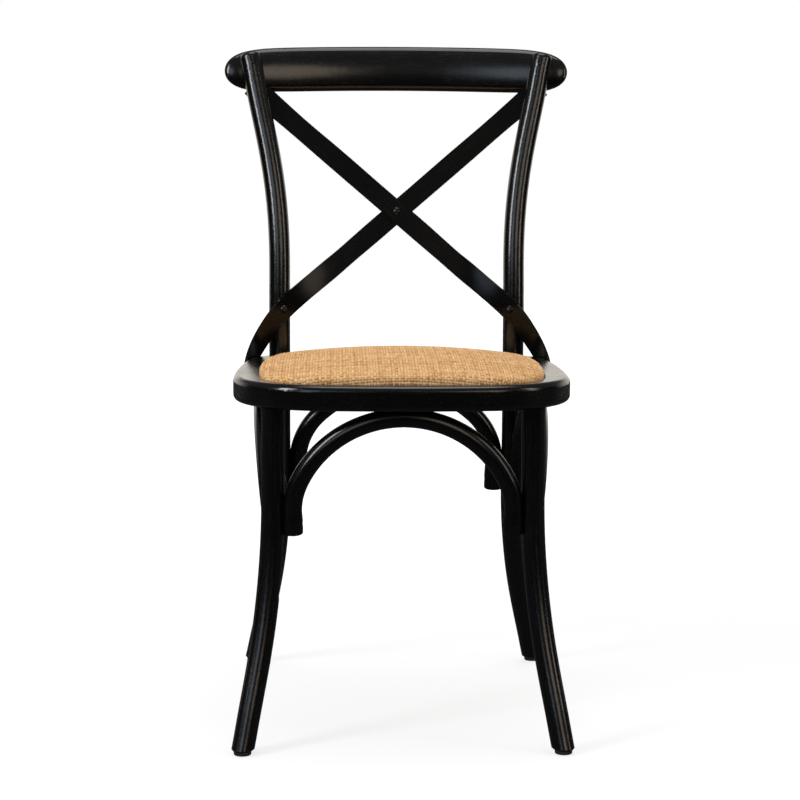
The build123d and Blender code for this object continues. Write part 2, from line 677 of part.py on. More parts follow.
def oval(half_height, half_thickness):
    """Oval of four arcs: gently curved faces and round top and bottom."""
    small = RAIL_EDGE_SHARE * half_thickness
    rise = half_height - small
    large = (half_thickness**2 + rise**2 - small**2) / (2 * (half_thickness - small))
    turn = acos((large - half_thickness) / (large - small))
    x = half_thickness - large + large * cos(turn)
    y = large * sin(turn)
    arcs = Curve() + [
        ThreePointArc((x, -y), (half_thickness, 0), (x, y)),
        ThreePointArc((x, y), (0, half_height), (-x, y)),
        ThreePointArc((-x, y), (-half_thickness, 0), (-x, -y)),
        ThreePointArc((-x, -y), (0, -half_height), (x, -y)),
    ]
    return make_face(arcs)


def rail_body():
    """Bowed oval rail, leaning with the posts, thinning to rounded ends."""
    lean = atan(bend_slope(POST_TOP - RAKE_HEIGHT, RAKE, RAKE_SHARE))
    sections = []
    shares = [-share for share in reversed(RAIL_STATIONS[1:])] + RAIL_STATIONS
    for share in shares:
        x = share * RAIL_HALF_LENGTH
        tilt = x / RAIL_BOW_RADIUS
        z = RAIL_MIDDLE - RAIL_DROP * (x / post_axis(RAIL_MIDDLE).X) ** 2
        along = Vector(cos(tilt), -sin(tilt), 0)
        back = Vector(sin(tilt) * cos(lean), cos(tilt) * cos(lean), -sin(lean))
        plane = square_plane(Vector(x, rail_depth(x), z), along, back)
        half_height = RAIL_HEIGHT / 2 * sqrt(1 - abs(share) ** RAIL_END_POWER)
        half_thickness = RAIL_THICKNESS / 2 * sqrt(1 - abs(share) ** RAIL_END_THIN_POWER)
        sections.append(plane * oval(half_height, min(half_thickness, RAIL_END_SHARE * half_height)))
    return loft(sections)


def rail_pin_seat():
    """Head seat of the pin through the right post top and its outward direction."""
    axis = post_axis(RAIL_PIN_HEIGHT)
    along = (axis - post_axis(RAIL_PIN_HEIGHT - 1)).normalized()
    tilt = axis.X / RAIL_BOW_RADIUS
    forward = Vector(-sin(tilt), -cos(tilt), 0)
    outward = (forward - along * forward.dot(along)).normalized()
    return axis + outward * (POST_RADIUS - RAIL_PIN_SINK), outward


def crest_rail():
    """Crest rail with housings for the posts, slots for the strap tops and pin holes."""
    rail = rail_body()
    for shape in both_sides(post_body(WOOD_FIT)):
        rail -= shape
    for side in (1, -1):
        rail -= strap_body(side, WOOD_FIT)
    for hole in both_sides(screw_hole(RAIL_PIN, *rail_pin_seat())):
        rail -= hole
    return rail


def nail_seat(axis):
    """Head seat of a glide nail under a foot."""
    foot = axis(GLIDE_THICKNESS)
    return Vector(foot.X, foot.Y, NAIL_SINK)


def nail_spec():
    """Nail of a glide, as shank and head sizes."""
    return (NAIL_RADIUS, NAIL_LENGTH, NAIL_HEAD_RADIUS, NAIL_HEAD_HEIGHT)


def footed(shape, axis):
    """A leg cut level above its glide, with a chamfered foot and a nail hole."""
    shape = on_floor_side(shape, GLIDE_THICKNESS)
    shape = chamfer(shape.edges().group_by(Axis.Z)[0], FOOT_CHAMFER)
    return shape - screw_hole(nail_spec(), nail_seat(axis), (0, 0, -1))


def glide(axis):
    """Round glide under a foot, with a sunk hole for its nail."""
    foot = axis(GLIDE_THICKNESS)
    disc = upright(GLIDE_RADIUS, GLIDE_THICKNESS, foot.X, foot.Y, 0)
    disc = fillet(disc.edges().group_by(Axis.Z)[0], GLIDE_ROUND)
    return disc - screw_hole(nail_spec(), nail_seat(axis), (0, 0, -1), NAIL_SINK + PAST)


def front_leg():
    """Right front leg with its tenon."""
    leg = footed(leg_body(), leg_axis)
    leg += upright(TENON_RADIUS, TENON_LENGTH, LEG_X, LEG_Y, FRAME_BOTTOM)
    leg -= screw_hole(LOCK_SCREW, *lock_screw_seat())
    leg -= screw_hole(HOOP_SCREW, *front_hoop_screw())
    return leg - screw_hole(HOOP_SCREW, *side_hoop_front_screw())


def rear_post(side):
    """Rear leg and post in one piece; the left one is the mirror image apart from its strap seats."""
    post = footed(post_body(), post_axis)
    post -= screw_hole(LAG_SCREW, lag_screw_seat(), (0, 1, 0), LAG_SCREW_SINK + PAST)
    post -= screw_hole(RAIL_PIN, *rail_pin_seat(), RAIL_PIN_SINK + PAST)
    post -= screw_hole(HOOP_SCREW, *rear_hoop_screw())
    post -= screw_hole(HOOP_SCREW, *side_hoop_rear_screw())
    if side < 0:
        post = mirror(post, Plane.YZ)
    for strap_side in (1, -1):
        post -= strap_body(strap_side, WOOD_FIT)
    post -= screw_hole(STRAP_BOLT, *strap_bolt_seat(side))
    post -= cap_nut_pocket(side)
    post -= screw_hole(TOP_SCREW, *top_screw_seat(side))
    return fillet(post.edges().group_by(Axis.Z)[-1], POST_TOP_ROUND)


def cap_nut_place(side):
    """Plane of the cap nut's seat on the outer back of a post, facing away from the bolt head."""
    seat, outward = strap_bolt_seat(side)
    reach = STRAP_THICKNESS - STRAP_SEAT + 2 * POST_RADIUS - CAP_NUT_SINK
    return facing(seat - outward * reach, -outward)


def cap_nut_pocket(side):
    """Shallow round pocket for the cap nut."""
    pocket = Cylinder(CAP_NUT_RADIUS + HOLE_FIT, PAST, align=STAND)
    return cap_nut_place(side) * pocket


def cap_nut(side):
    """Domed nut on the tail of a strap bolt."""
    nut = Cylinder(CAP_NUT_RADIUS, CAP_NUT_SINK, align=STAND)
    nut += Pos(0, 0, CAP_NUT_SINK) * dome(CAP_NUT_RADIUS, CAP_NUT_HEIGHT - CAP_NUT_SINK)
    nut = cap_nut_place(side) * nut
    return nut - screw_hole(STRAP_BOLT, *strap_bolt_seat(side))


def post_plug():
    """Wood plug over the lag screw in the back of the right post."""
    seat = lag_screw_seat()
    head_top = seat.Y + LAG_SCREW[3]
    length = POST_Y + POST_RADIUS - head_top - HOLE_FIT
    plug = Cylinder(LAG_SCREW[2], length, align=STAND)
    plug += Pos(0, 0, length) * dome(LAG_SCREW[2], PLUG_RISE)
    return facing(Vector(seat.X, head_top + HOLE_FIT, seat.Z), (0, 1, 0)) * plug


def hoop_path(half_span, rise, haunch):
    """Three-centred arch in the XY plane with its springing on the X axis."""
    spread = (rise - haunch) / (half_span - haunch)
    turn = 90 - 2 * degrees(atan(spread))
    crown = haunch + (half_span - haunch) / cos(radians(turn))
    right = JernArc((half_span, 0), (0, 1), haunch, turn)
    top = JernArc(right @ 1, right % 1, crown, 180 - 2 * turn)
    left = JernArc(top @ 1, top % 1, haunch, turn)
    return Wire([right, top, left])


def hoop_end(half_span, straight):
    """Straight end of a hoop, thicker at the bottom and fading into the rod at the springing."""
    thick = HOOP_RADIUS + HOOP_END_SWELL
    full = HOOP_SWELL_SHARE * straight
    ease = min(2 * HOOP_END_SWELL, full / 2)
    profile = Curve() + [
        Line((0, 0), (thick - ease, 0)),
        RadiusArc((thick - ease, 0), (thick, ease), -ease),
        Line((thick, ease), (thick, full)),
        Line((thick, full), (HOOP_RADIUS, straight)),
        Line((HOOP_RADIUS, straight), (0, straight)),
        Line((0, straight), (0, 0)),
    ]
    end = revolve(Plane.XZ * make_face(profile), Axis.Z)
    return Plane(origin=(half_span, -straight, 0), z_dir=(0, 1, 0)) * end


def hoop_plane(ends, crown, across):
    """Plane of a hoop whose ends lie about one point and whose crown lies about another."""
    up = (crown - ends).normalized()
    return Plane(origin=crown, x_dir=across, z_dir=Vector(across).cross(up))


def hoop_body(plane, half_span, straight, haunch):
    """Round rod bent to an arch, its ends level with each other and its crown planed under the frame."""
    rise = (HOOP_CROWN - HOOP_END) / plane.y_dir.Z - straight
    start = Plane(origin=(half_span, 0, 0), z_dir=(0, 1, 0))
    body = sweep(start * Circle(HOOP_RADIUS), path=hoop_path(half_span, rise, haunch))
    end = hoop_end(half_span, straight)
    body += [end, mirror(end, Plane.YZ)]
    body = plane * Pos(0, -rise, 0) * body
    above = Pos(0, 0, FRAME_BOTTOM) * Box(
        3 * SEAT_HALF_WIDTH, 3 * SEAT_HALF_WIDTH, PAST, align=STAND
    )
    return body - above


def front_span():
    """Half span of the front hoop between the front legs."""
    return leg_axis(HOOP_END).X - LEG_RADIUS - HOOP_RADIUS + HOOP_SADDLE


def rear_span():
    """Half span of the rear hoop between the posts."""
    return post_axis(HOOP_END).X - POST_RADIUS - HOOP_RADIUS + HOOP_SADDLE


def side_ends():
    """Depths of the middle lines of a side hoop's two ends."""
    front = leg_axis(HOOP_END).Y + LEG_RADIUS + HOOP_RADIUS - HOOP_SADDLE
    rear = post_axis(HOOP_END + HOOP_SCREW_HIGH).Y - POST_RADIUS - HOOP_RADIUS + HOOP_SADDLE
    return front, rear


def front_hoop_plane():
    """Plane of the front hoop."""
    crown = Vector(0, SEAT_FRONT + FRONT_HOOP_CROWN, HOOP_CROWN)
    return hoop_plane(Vector(0, leg_axis(HOOP_END).Y, HOOP_END), crown, (1, 0, 0))


def rear_hoop_plane():
    """Plane of the rear hoop."""
    crown = Vector(0, SEAT_BACK - REAR_HOOP_CROWN, HOOP_CROWN)
    return hoop_plane(Vector(0, post_axis(HOOP_END).Y, HOOP_END), crown, (1, 0, 0))


def side_hoop_plane():
    """Plane of the right side hoop, leaning out under the frame."""
    front, rear = side_ends()
    middle = (front + rear) / 2
    crown = Vector(SEAT_HALF_WIDTH - SIDE_HOOP_CROWN, middle, HOOP_CROWN)
    return hoop_plane(Vector(leg_axis(HOOP_END).X, middle, HOOP_END), crown, (0, 1, 0))


def hoop_point(plane, z):
    """Point in a hoop's plane, on its middle line, at a height."""
    return plane.origin + plane.y_dir * ((z - plane.origin.Z) / plane.y_dir.Z)


def end_screw(plane, across, half_span, height):
    """Head seat of a screw inside a hoop end, `across` pointing from the middle to the leg."""
    across = Vector(across)
    inner = hoop_point(plane, HOOP_END + height) + across * (half_span - HOOP_RADIUS + HOOP_SCREW_SINK)
    return inner, -across


def front_hoop_screw():
    """Screw from the front hoop into the right front leg."""
    return end_screw(front_hoop_plane(), (1, 0, 0), front_span(), HOOP_SCREW_LOW)


def rear_hoop_screw():
    """Screw from the rear hoop into the right post."""
    return end_screw(rear_hoop_plane(), (1, 0, 0), rear_span(), HOOP_SCREW_LOW)


def side_span():
    """Half span of a side hoop."""
    front, rear = side_ends()
    return (rear - front) / 2


def side_hoop_front_screw():
    """Screw from the right side hoop into the front leg."""
    return end_screw(side_hoop_plane(), (0, -1, 0), side_span(), HOOP_SCREW_HIGH)


def side_hoop_rear_screw():
    """Screw from the right side hoop into the post."""
    return end_screw(side_hoop_plane(), (0, 1, 0), side_span(), HOOP_SCREW_HIGH)


def crown_screw_seat(plane):
    """Head seat of the screw up through the crown of a hoop."""
    return plane.origin - Vector(0, 0, HOOP_RADIUS - CROWN_SCREW_SINK)


def hoop(plane, half_span, straight, haunch, end_screws, neighbours):
    """Finished hoop: saddled to its legs and bored for its screws."""
    body = hoop_body(plane, half_span, straight, haunch)
    for shape in neighbours:
        body -= shape
    for seat in end_screws:
        body -= screw_hole(HOOP_SCREW, *seat, HOOP_SCREW_SINK + PAST)
    return body - screw_hole(CROWN_SCREW, crown_screw_seat(plane), (0, 0, -1), CROWN_SCREW_SINK + PAST)


def mirrored_seat(seat):
    """A head seat and direction on the right carried over to the left."""
    return flipped(seat[0]), flipped(seat[1])


def front_hoop():
    """Arch between the front legs."""
    seat = front_hoop_screw()
    seats = [seat, mirrored_seat(seat)]
    legs = both_sides(leg_body(WOOD_FIT))
    return hoop(front_hoop_plane(), front_span(), HOOP_STRAIGHT, HOOP_HAUNCH, seats, legs)


def rear_hoop():
    """Flatter arch between the posts."""
    seat = rear_hoop_screw()
    seats = [seat, mirrored_seat(seat)]
    posts = both_sides(post_body(WOOD_FIT))
    return hoop(rear_hoop_plane(), rear_span(), REAR_HOOP_STRAIGHT, REAR_HOOP_HAUNCH, seats, posts)


def side_hoop():
    """Arch between the right front leg and the right post."""
    seats = [side_hoop_front_screw(), side_hoop_rear_screw()]
    legs = [leg_body(WOOD_FIT), post_body(WOOD_FIT)]
    return hoop(side_hoop_plane(), side_span(), HOOP_STRAIGHT, HOOP_HAUNCH, seats, legs)


def crown_screw_seats():
    """Head seats of the four crown screws."""
    side = crown_screw_seat(side_hoop_plane())
    return [crown_screw_seat(front_hoop_plane()), crown_screw_seat(rear_hoop_plane()), side, flipped(side)]


def seat_frame():
    """Rounded ring with a rebate, notched for the posts and bored for legs, straps and screws."""
    frame = slab(FRAME_OUTLINE, 0, FRAME_BOTTOM, SEAT_HEIGHT)
    frame = fillet(frame.edges().group_by(Axis.Z)[0] + frame.edges().group_by(Axis.Z)[-1], FRAME_ROUND)
    frame -= slab(PAD_OUTLINE, LEDGE_WIDTH, FRAME_BOTTOM - PAST, SEAT_HEIGHT)
    frame -= slab(PAD_OUTLINE, 0, LEDGE_HEIGHT, SEAT_HEIGHT + PAST)
    frame = fillet(frame.faces().sort_by(Axis.Z)[-1].inner_wires()[0].edges(), FRAME_EASE)
    mortise = upright(TENON_RADIUS + WOOD_FIT, TENON_LENGTH + WOOD_FIT, LEG_X, LEG_Y, FRAME_BOTTOM)
    notch = upright(POST_RADIUS + WOOD_FIT, FRAME_THICKNESS + 2 * PAST, POST_X, POST_Y, FRAME_BOTTOM - PAST)
    notch += Pos(POST_X, POST_Y, FRAME_BOTTOM) * Box(
        2 * (POST_RADIUS + WOOD_FIT), PAST, 4 * FRAME_THICKNESS, align=(Align.CENTER, Align.MIN, Align.CENTER)
    )
    lock = screw_hole(LOCK_SCREW, *lock_screw_seat(), PAST)
    lag = screw_hole(LAG_SCREW, lag_screw_seat(), (0, 1, 0))
    foot = screw_hole(FOOT_SCREW, *foot_screw_seat(1))
    for shape in (mortise, notch, lock, lag, strap_housing(), foot):
        frame -= both_sides(shape)
    for seat in crown_screw_seats():
        frame -= screw_hole(CROWN_SCREW, seat, (0, 0, -1))
    for seat in board_screw_seats():
        frame -= screw_hole(BOARD_SCREW, seat, (0, 0, -1), BOARD_SCREW_SINK + PAST)
    return frame


def group(shapes):
    """Separate solids that share one node."""
    return Compound(children=list(shapes))


def hoop_leg_screws():
    """Screws from the hoop ends into the legs and posts."""
    seats = [front_hoop_screw(), rear_hoop_screw(), side_hoop_front_screw(), side_hoop_rear_screw()]
    seats += [mirrored_seat(seat) for seat in seats]
    return group(screw(HOOP_SCREW, *seat) for seat in seats)


def screws_up(spec, seats):
    """Screws driven straight up."""
    return group(screw(spec, seat, (0, 0, -1)) for seat in seats)


def nails():
    """Nails of the four glides."""
    seats = []
    for axis in (leg_axis, post_axis):
        seats += [nail_seat(axis), flipped(nail_seat(axis))]
    return screws_up(nail_spec(), seats)


def sided(name, shape):
    """A right-hand piece and its mirror image as two named nodes."""
    return {name + "_right": shape, name + "_left": mirror(shape, Plane.YZ)}


def assembly():
    """Every node of the chair by name."""
    nodes = {
        "seat_frame": seat_frame(),
        "seat_board": seat_board(),
        "seat_foam": seat_foam(),
        "seat_cover": seat_cover(),
        "cover_staples": group(place * staple() for place in staple_places()),
        "board_screws": screws_up(BOARD_SCREW, board_screw_seats()),
        "rear_post_right": rear_post(1),
        "rear_post_left": rear_post(-1),
        "crest_rail": crest_rail(),
        "rail_pins": group(both_sides(screw(RAIL_PIN, *rail_pin_seat(), domed=True))),
        "cross_strap_right_foot": cross_strap(1),
        "cross_strap_left_foot": cross_strap(-1),
        "cross_rivet": cross_rivet(),
        "cross_rivet_washer": cross_rivet_washer(),
        "strap_bolts": group(screw(STRAP_BOLT, *strap_bolt_seat(side), domed=True) for side in (1, -1)),
        "strap_cap_nuts": group(cap_nut(side) for side in (1, -1)),
        "strap_top_screws": group(screw(TOP_SCREW, *top_screw_seat(side)) for side in (1, -1)),
        "strap_foot_screws": group(screw(FOOT_SCREW, *foot_screw_seat(side), domed=True) for side in (1, -1)),
        "post_lag_screws": group(both_sides(screw(LAG_SCREW, lag_screw_seat(), (0, 1, 0)))),
        "post_plugs": group(both_sides(post_plug())),
        "leg_lock_screws": group(both_sides(screw(LOCK_SCREW, *lock_screw_seat()))),
        "front_hoop": front_hoop(),
        "rear_hoop": rear_hoop(),
        "hoop_leg_screws": hoop_leg_screws(),
        "hoop_crown_screws": screws_up(CROWN_SCREW, crown_screw_seats()),
        "glide_nails": nails(),
    }
    nodes.update(sided("front_leg", front_leg()))
    nodes.update(sided("side_hoop", side_hoop()))
    nodes.update(sided("front_glide", glide(leg_axis)))
    nodes.update(sided("rear_glide", glide(post_axis)))
    return nodes


os.makedirs("parts", exist_ok=True)
for name, shape in assembly().items():
    export_step(shape, f"parts/{name}.step")
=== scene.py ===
"""Looks of a cross-back dining chair: a woven rattan seat pad, black lacquered wood, dark fixings and a studio."""

import math

import bpy
import numpy as np
from mathutils import Matrix, Vector


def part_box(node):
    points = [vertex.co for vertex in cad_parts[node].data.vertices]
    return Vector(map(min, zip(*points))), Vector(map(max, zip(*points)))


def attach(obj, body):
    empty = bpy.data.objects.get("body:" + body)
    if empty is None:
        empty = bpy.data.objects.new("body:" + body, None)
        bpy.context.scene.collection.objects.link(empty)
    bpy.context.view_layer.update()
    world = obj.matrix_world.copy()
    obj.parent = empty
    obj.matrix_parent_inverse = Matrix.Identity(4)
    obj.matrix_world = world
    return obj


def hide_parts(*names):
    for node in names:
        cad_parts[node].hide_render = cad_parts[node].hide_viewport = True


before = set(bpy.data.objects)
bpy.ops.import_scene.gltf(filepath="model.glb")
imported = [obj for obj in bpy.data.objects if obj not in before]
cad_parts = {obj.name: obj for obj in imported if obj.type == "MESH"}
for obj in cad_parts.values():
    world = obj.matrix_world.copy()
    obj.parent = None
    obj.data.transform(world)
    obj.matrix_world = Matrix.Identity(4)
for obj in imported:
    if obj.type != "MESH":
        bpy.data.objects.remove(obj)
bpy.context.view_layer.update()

bl_info = {
    "name": "Cross-back chair looks",
    "version": (1, 0, 0),
    "blender": (4, 5, 0),
    "location": "View3D > Sidebar > Chair",
    "description": "Dresses the chair's solids with a woven pad, lacquer, fixings and a studio",
    "category": "Object",
}

COVER_LOW, COVER_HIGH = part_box("seat_cover")
BOARD_LOW, BOARD_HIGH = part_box("seat_board")
PAD_MIDDLE = (COVER_LOW[1] + COVER_HIGH[1]) / 2
RANDOM_SEED = 11
RIM_COUNT = 360  # points round the pad's outline
CLEARANCE = 0.0001

# Radii of the pad's bowed outline and its corners, and where its sides are widest, in metres
SIDE_BOW = 0.480
SIDE_WIDEST = -0.090
FRONT_BOW = 1.100
REAR_BOW = 0.600
FRONT_CORNER = 0.076
REAR_CORNER = 0.104


class SeatPadSettings(bpy.types.PropertyGroup):
    """Sizes and colours of the woven pad."""

    crown: bpy.props.FloatProperty(
        name="Crown radius", description="Radius of the domed top", default=1.25, min=0.5, unit="LENGTH")
    roll: bpy.props.FloatProperty(
        name="Edge roll", description="Radius of the rolled edge", default=0.007, min=0.002, unit="LENGTH")
    wall: bpy.props.FloatProperty(
        name="Wall", description="Height of the weave below the roll", default=0.010, min=0.002, unit="LENGTH")
    pitch: bpy.props.FloatProperty(
        name="Strand spacing", description="Distance between neighbouring strands", default=0.0038, min=0.002,
        precision=4, unit="LENGTH")
    strand_width: bpy.props.FloatProperty(
        name="Strand width", description="Width of a strand from front to back", default=0.0031, min=0.001,
        precision=4, unit="LENGTH")
    cross_width: bpy.props.FloatProperty(
        name="Cross strand width", description="Width of a strand from side to side", default=0.0038, min=0.001,
        precision=4, unit="LENGTH")
    strand_thickness: bpy.props.FloatProperty(
        name="Strand thickness", description="Thickness of one strand", default=0.0011, min=0.0003, precision=4,
        unit="LENGTH")
    weave_depth: bpy.props.FloatProperty(
        name="Weave depth", description="Rise and fall of a strand at each crossing", default=0.0006, min=0.0001,
        precision=5, unit="LENGTH")
    bunching: bpy.props.FloatProperty(
        name="Bunching", description="How much each group of four lengthwise strands is drawn together", default=0.08,
        min=0.0, max=0.3, subtype="FACTOR")
    unevenness: bpy.props.FloatProperty(
        name="Unevenness", description="How far strands stray from their places, as a share of the spacing",
        default=0.05, min=0.0, max=0.2, subtype="FACTOR")
    straw: bpy.props.FloatVectorProperty(
        name="Straw", description="Pale strands", default=(1.0, 0.67, 0.33), size=3, min=0, max=1, subtype="COLOR")
    honey: bpy.props.FloatVectorProperty(
        name="Honey", description="Dark strands", default=(0.60, 0.265, 0.075), size=3, min=0, max=1, subtype="COLOR")
    scrim: bpy.props.FloatVectorProperty(
        name="Scrim", description="Cloth seen between the strands", default=(0.16, 0.068, 0.023), size=3, min=0,
        max=1, subtype="COLOR")


class LacquerSettings(bpy.types.PropertyGroup):
    """Colours and gloss of the lacquered wood."""

    black: bpy.props.FloatVectorProperty(
        name="Lacquer", description="Colour of the lacquer", default=(0.0018, 0.0017, 0.0017), size=3, min=0, max=1,
        subtype="COLOR")
    umber: bpy.props.FloatVectorProperty(
        name="Wood below", description="Warm wood that shows through in the pores", default=(0.008, 0.005, 0.0035),
        size=3, min=0, max=1, subtype="COLOR")
    roughness: bpy.props.FloatProperty(
        name="Roughness", description="Roughness of the lacquer", default=0.20, min=0, max=1, subtype="FACTOR")
    pore_depth: bpy.props.FloatProperty(
        name="Pore depth", description="Depth of the wood's pores", default=0.00004, min=0, precision=5,
        unit="LENGTH")


class StudioSettings(bpy.types.PropertyGroup):
    """Camera and light of the studio."""

    lens: bpy.props.FloatProperty(
        name="Lens", description="Focal length on a 36 mm sensor", default=98.46, min=10, unit="CAMERA")
    eye: bpy.props.FloatVectorProperty(
        name="Eye", description="Place of the camera", default=(-0.08344, -2.89185, 0.7889), size=3,
        subtype="TRANSLATION")
    yaw: bpy.props.FloatProperty(name="Yaw", description="Turn to the right", default=0.0292, subtype="ANGLE")
    pitch: bpy.props.FloatProperty(name="Pitch", description="Tilt upward", default=-0.1286, subtype="ANGLE")
    roll: bpy.props.FloatProperty(name="Roll", description="Clockwise tilt", default=0.004, subtype="ANGLE")
    key: bpy.props.FloatProperty(
        name="Key light", description="Power of the soft light at the left", default=41.0, min=0, unit="POWER")
    top: bpy.props.FloatProperty(
        name="Top light", description="Power of the overhead light", default=22.0, min=0, unit="POWER")
    rim: bpy.props.FloatProperty(
        name="Rim light", description="Power of the light at the right", default=8.0, min=0, unit="POWER")
    sky: bpy.props.FloatProperty(
        name="Room", description="Brightness of the room above the horizon", default=0.45, min=0)


def seat_rim():
    """Arcs of the pad's outline, anticlockwise: rows of centre x, centre y, radius, first and last angle.

    Four bowed sides meet in four corner arcs; each corner centre lies at (bow - corner) from the centres of
    the side arc and of the end arc that it touches."""
    side = np.array([COVER_HIGH[0] - SIDE_BOW, SIDE_WIDEST])
    front = np.array([0.0, COVER_LOW[1] + FRONT_BOW])
    rear = np.array([0.0, COVER_HIGH[1] - REAR_BOW])
    right = []
    for end, bow, corner in ((front, FRONT_BOW, FRONT_CORNER), (rear, REAR_BOW, REAR_CORNER)):
        apart = np.linalg.norm(end - side)
        along = (end - side) / apart
        across = np.array([-along[1], along[0]])
        run = ((SIDE_BOW - corner) ** 2 - (bow - corner) ** 2 + apart**2) / (2 * apart)
        rise = math.sqrt((SIDE_BOW - corner) ** 2 - run**2)
        centre = max((side + along * run + across * way * rise for way in (1, -1)), key=lambda point: point[0])
        to_end = math.atan2(*(centre - end)[::-1])
        to_side = math.atan2(*(centre - side)[::-1])
        right.append((centre, corner, to_end, to_side))
    (front_corner, front_radius, front_end, front_side), (rear_corner, rear_radius, rear_end, rear_side) = right
    half_turn = math.pi
    return np.array([
        (*front, FRONT_BOW, -half_turn - front_end, front_end),
        (*front_corner, front_radius, front_end, front_side),
        (*side, SIDE_BOW, front_side, rear_side),
        (*rear_corner, rear_radius, rear_side, rear_end),
        (*rear, REAR_BOW, rear_end, half_turn - rear_end),
        (-rear_corner[0], rear_corner[1], rear_radius, half_turn - rear_end, half_turn - rear_side),
        (-side[0], side[1], SIDE_BOW, half_turn - rear_side, half_turn - front_side),
        (-front_corner[0], front_corner[1], front_radius, half_turn - front_side, half_turn - front_end),
    ])


def rim_points(count):
    """Points on the outline and their outward normals: centre + radius * (cos a, sin a), evenly spaced."""
    arcs = seat_rim()
    lengths = arcs[:, 2] * (arcs[:, 4] - arcs[:, 3])
    ends = np.cumsum(lengths)
    place = np.arange(count) / count * ends[-1]
    which = np.searchsorted(ends, place, side="right")
    share = (place - (ends - lengths)[which]) / lengths[which]
    angle = arcs[which, 3] + share * (arcs[which, 4] - arcs[which, 3])
    normal = np.stack([np.cos(angle), np.sin(angle)], axis=-1)
    return arcs[which, :2] + arcs[which, 2:3] * normal, normal


def past_field(x, y, inset):
    """How far points lie outside the outline drawn in by `inset`, and the outward direction there.

    Outside a convex outline of arcs each point lies in the sector of one arc, at its distance from the arc's
    centre less the arc's radius; points inside get 0."""
    past = np.zeros_like(x)
    out_x = np.zeros_like(x)
    out_y = np.zeros_like(x)
    for centre_x, centre_y, radius, first, last in seat_rim():
        way_x, way_y = x - centre_x, y - centre_y
        reach = np.hypot(way_x, way_y)
        turn = np.mod(np.arctan2(way_y, way_x) - first, 2 * np.pi)
        here = (turn <= last - first) & (reach > radius - inset)
        past = np.where(here, reach - (radius - inset), past)
        out_x = np.where(here, way_x / reach, out_x)
        out_y = np.where(here, way_y / reach, out_y)
    return past, out_x, out_y


def crown_height(x, y, settings):
    """Height of the domed top: a sphere whose highest point is the top of the seat cover."""
    radius = settings.crown
    return COVER_HIGH[2] - radius + np.sqrt(radius**2 - x**2 - (y - PAD_MIDDLE) ** 2)


def edge_lean(settings):
    """Lean of the domed top where it meets the rolled edge: asin(half width / crown radius)."""
    return math.asin(COVER_HIGH[0] / settings.crown)


def field_inset(settings):
    """Distance from the outside of the cover in to where the rolled edge begins."""
    return settings.roll * (1 - math.sin(edge_lean(settings)))


def roll_length(settings):
    """Length of the rolled edge, from the lean of the domed top to upright."""
    return settings.roll * (math.pi / 2 - edge_lean(settings))


def drape(x, y, lift, settings):
    """Lay a flat sheet over the pad, `lift` off its surface along the normal.

    Inside the pad's field a point rises to the crown. Past the field's edge by e the surface has turned by
    a = lean + e / roll: it lies roll * (sin a - sin lean) outward and roll * (cos lean - cos a) down, and
    once upright it runs straight down the wall."""
    roll, lean = settings.roll, edge_lean(settings)
    past, out_x, out_y = past_field(x, y, field_inset(settings))
    turn = np.minimum(lean + past / roll, np.pi / 2)
    edge_x, edge_y = x - out_x * past, y - out_y * past
    reach = (roll + lift) * np.sin(turn) - roll * math.sin(lean)
    down = roll * math.cos(lean) - (roll + lift) * np.cos(turn)
    height = crown_height(edge_x, edge_y, settings) - down - np.maximum(past - roll_length(settings), 0)
    return np.stack([edge_x + out_x * reach, edge_y + out_y * reach, height], axis=-1), past


def new_mesh(name, points, faces, attributes=()):
    """Mesh from points and a list of face arrays, each with rows of 3 or 4 corners, shaded smooth."""
    mesh = bpy.data.meshes.new(name)
    corners = np.concatenate([part.ravel() for part in faces])
    sizes = np.concatenate([np.full(len(part), part.shape[1]) for part in faces])
    mesh.vertices.add(len(points))
    mesh.vertices.foreach_set("co", np.asarray(points, dtype=np.float32).ravel())
    mesh.loops.add(len(corners))
    mesh.loops.foreach_set("vertex_index", corners.astype(np.int32))
    mesh.polygons.add(len(sizes))
    mesh.polygons.foreach_set("loop_start", (np.cumsum(sizes) - sizes).astype(np.int32))
    mesh.polygons.foreach_set("use_smooth", np.ones(len(sizes), dtype=bool))
    for key, values in attributes:
        layer = mesh.attributes.new(key, "FLOAT_VECTOR", "POINT")
        layer.data.foreach_set("vector", np.asarray(values, dtype=np.float32).ravel())
    mesh.update(calc_edges=True)
    if mesh.validate():
        raise RuntimeError(f"{name} has faulty faces")
    return mesh


def add_piece(name, mesh, material):
    """Object at the origin that rides on the chair."""
    piece = bpy.data.objects.new(name, mesh)
    bpy.context.scene.collection.objects.link(piece)
    mesh.materials.append(material)
    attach(piece, "root")
    return piece


def ring_faces(rings, around):
    """Quads between closed rings of points, ring after ring, with outward faces for rings that run downward."""
    ring, step = np.meshgrid(np.arange(rings - 1), np.arange(around), indexing="ij")
    here = ring * around + step
    beside = ring * around + (step + 1) % around
    return np.stack([here, here + around, beside + around, beside], axis=-1).reshape(-1, 4)


def fan_faces(pole, first, around, upward):
    """Triangles from a pole to a closed ring of points."""
    here = first + np.arange(around)
    beside = first + (np.arange(around) + 1) % around
    centre = np.full(around, pole)
    corners = (centre, here, beside) if upward else (centre, beside, here)
    return np.stack(corners, axis=-1)


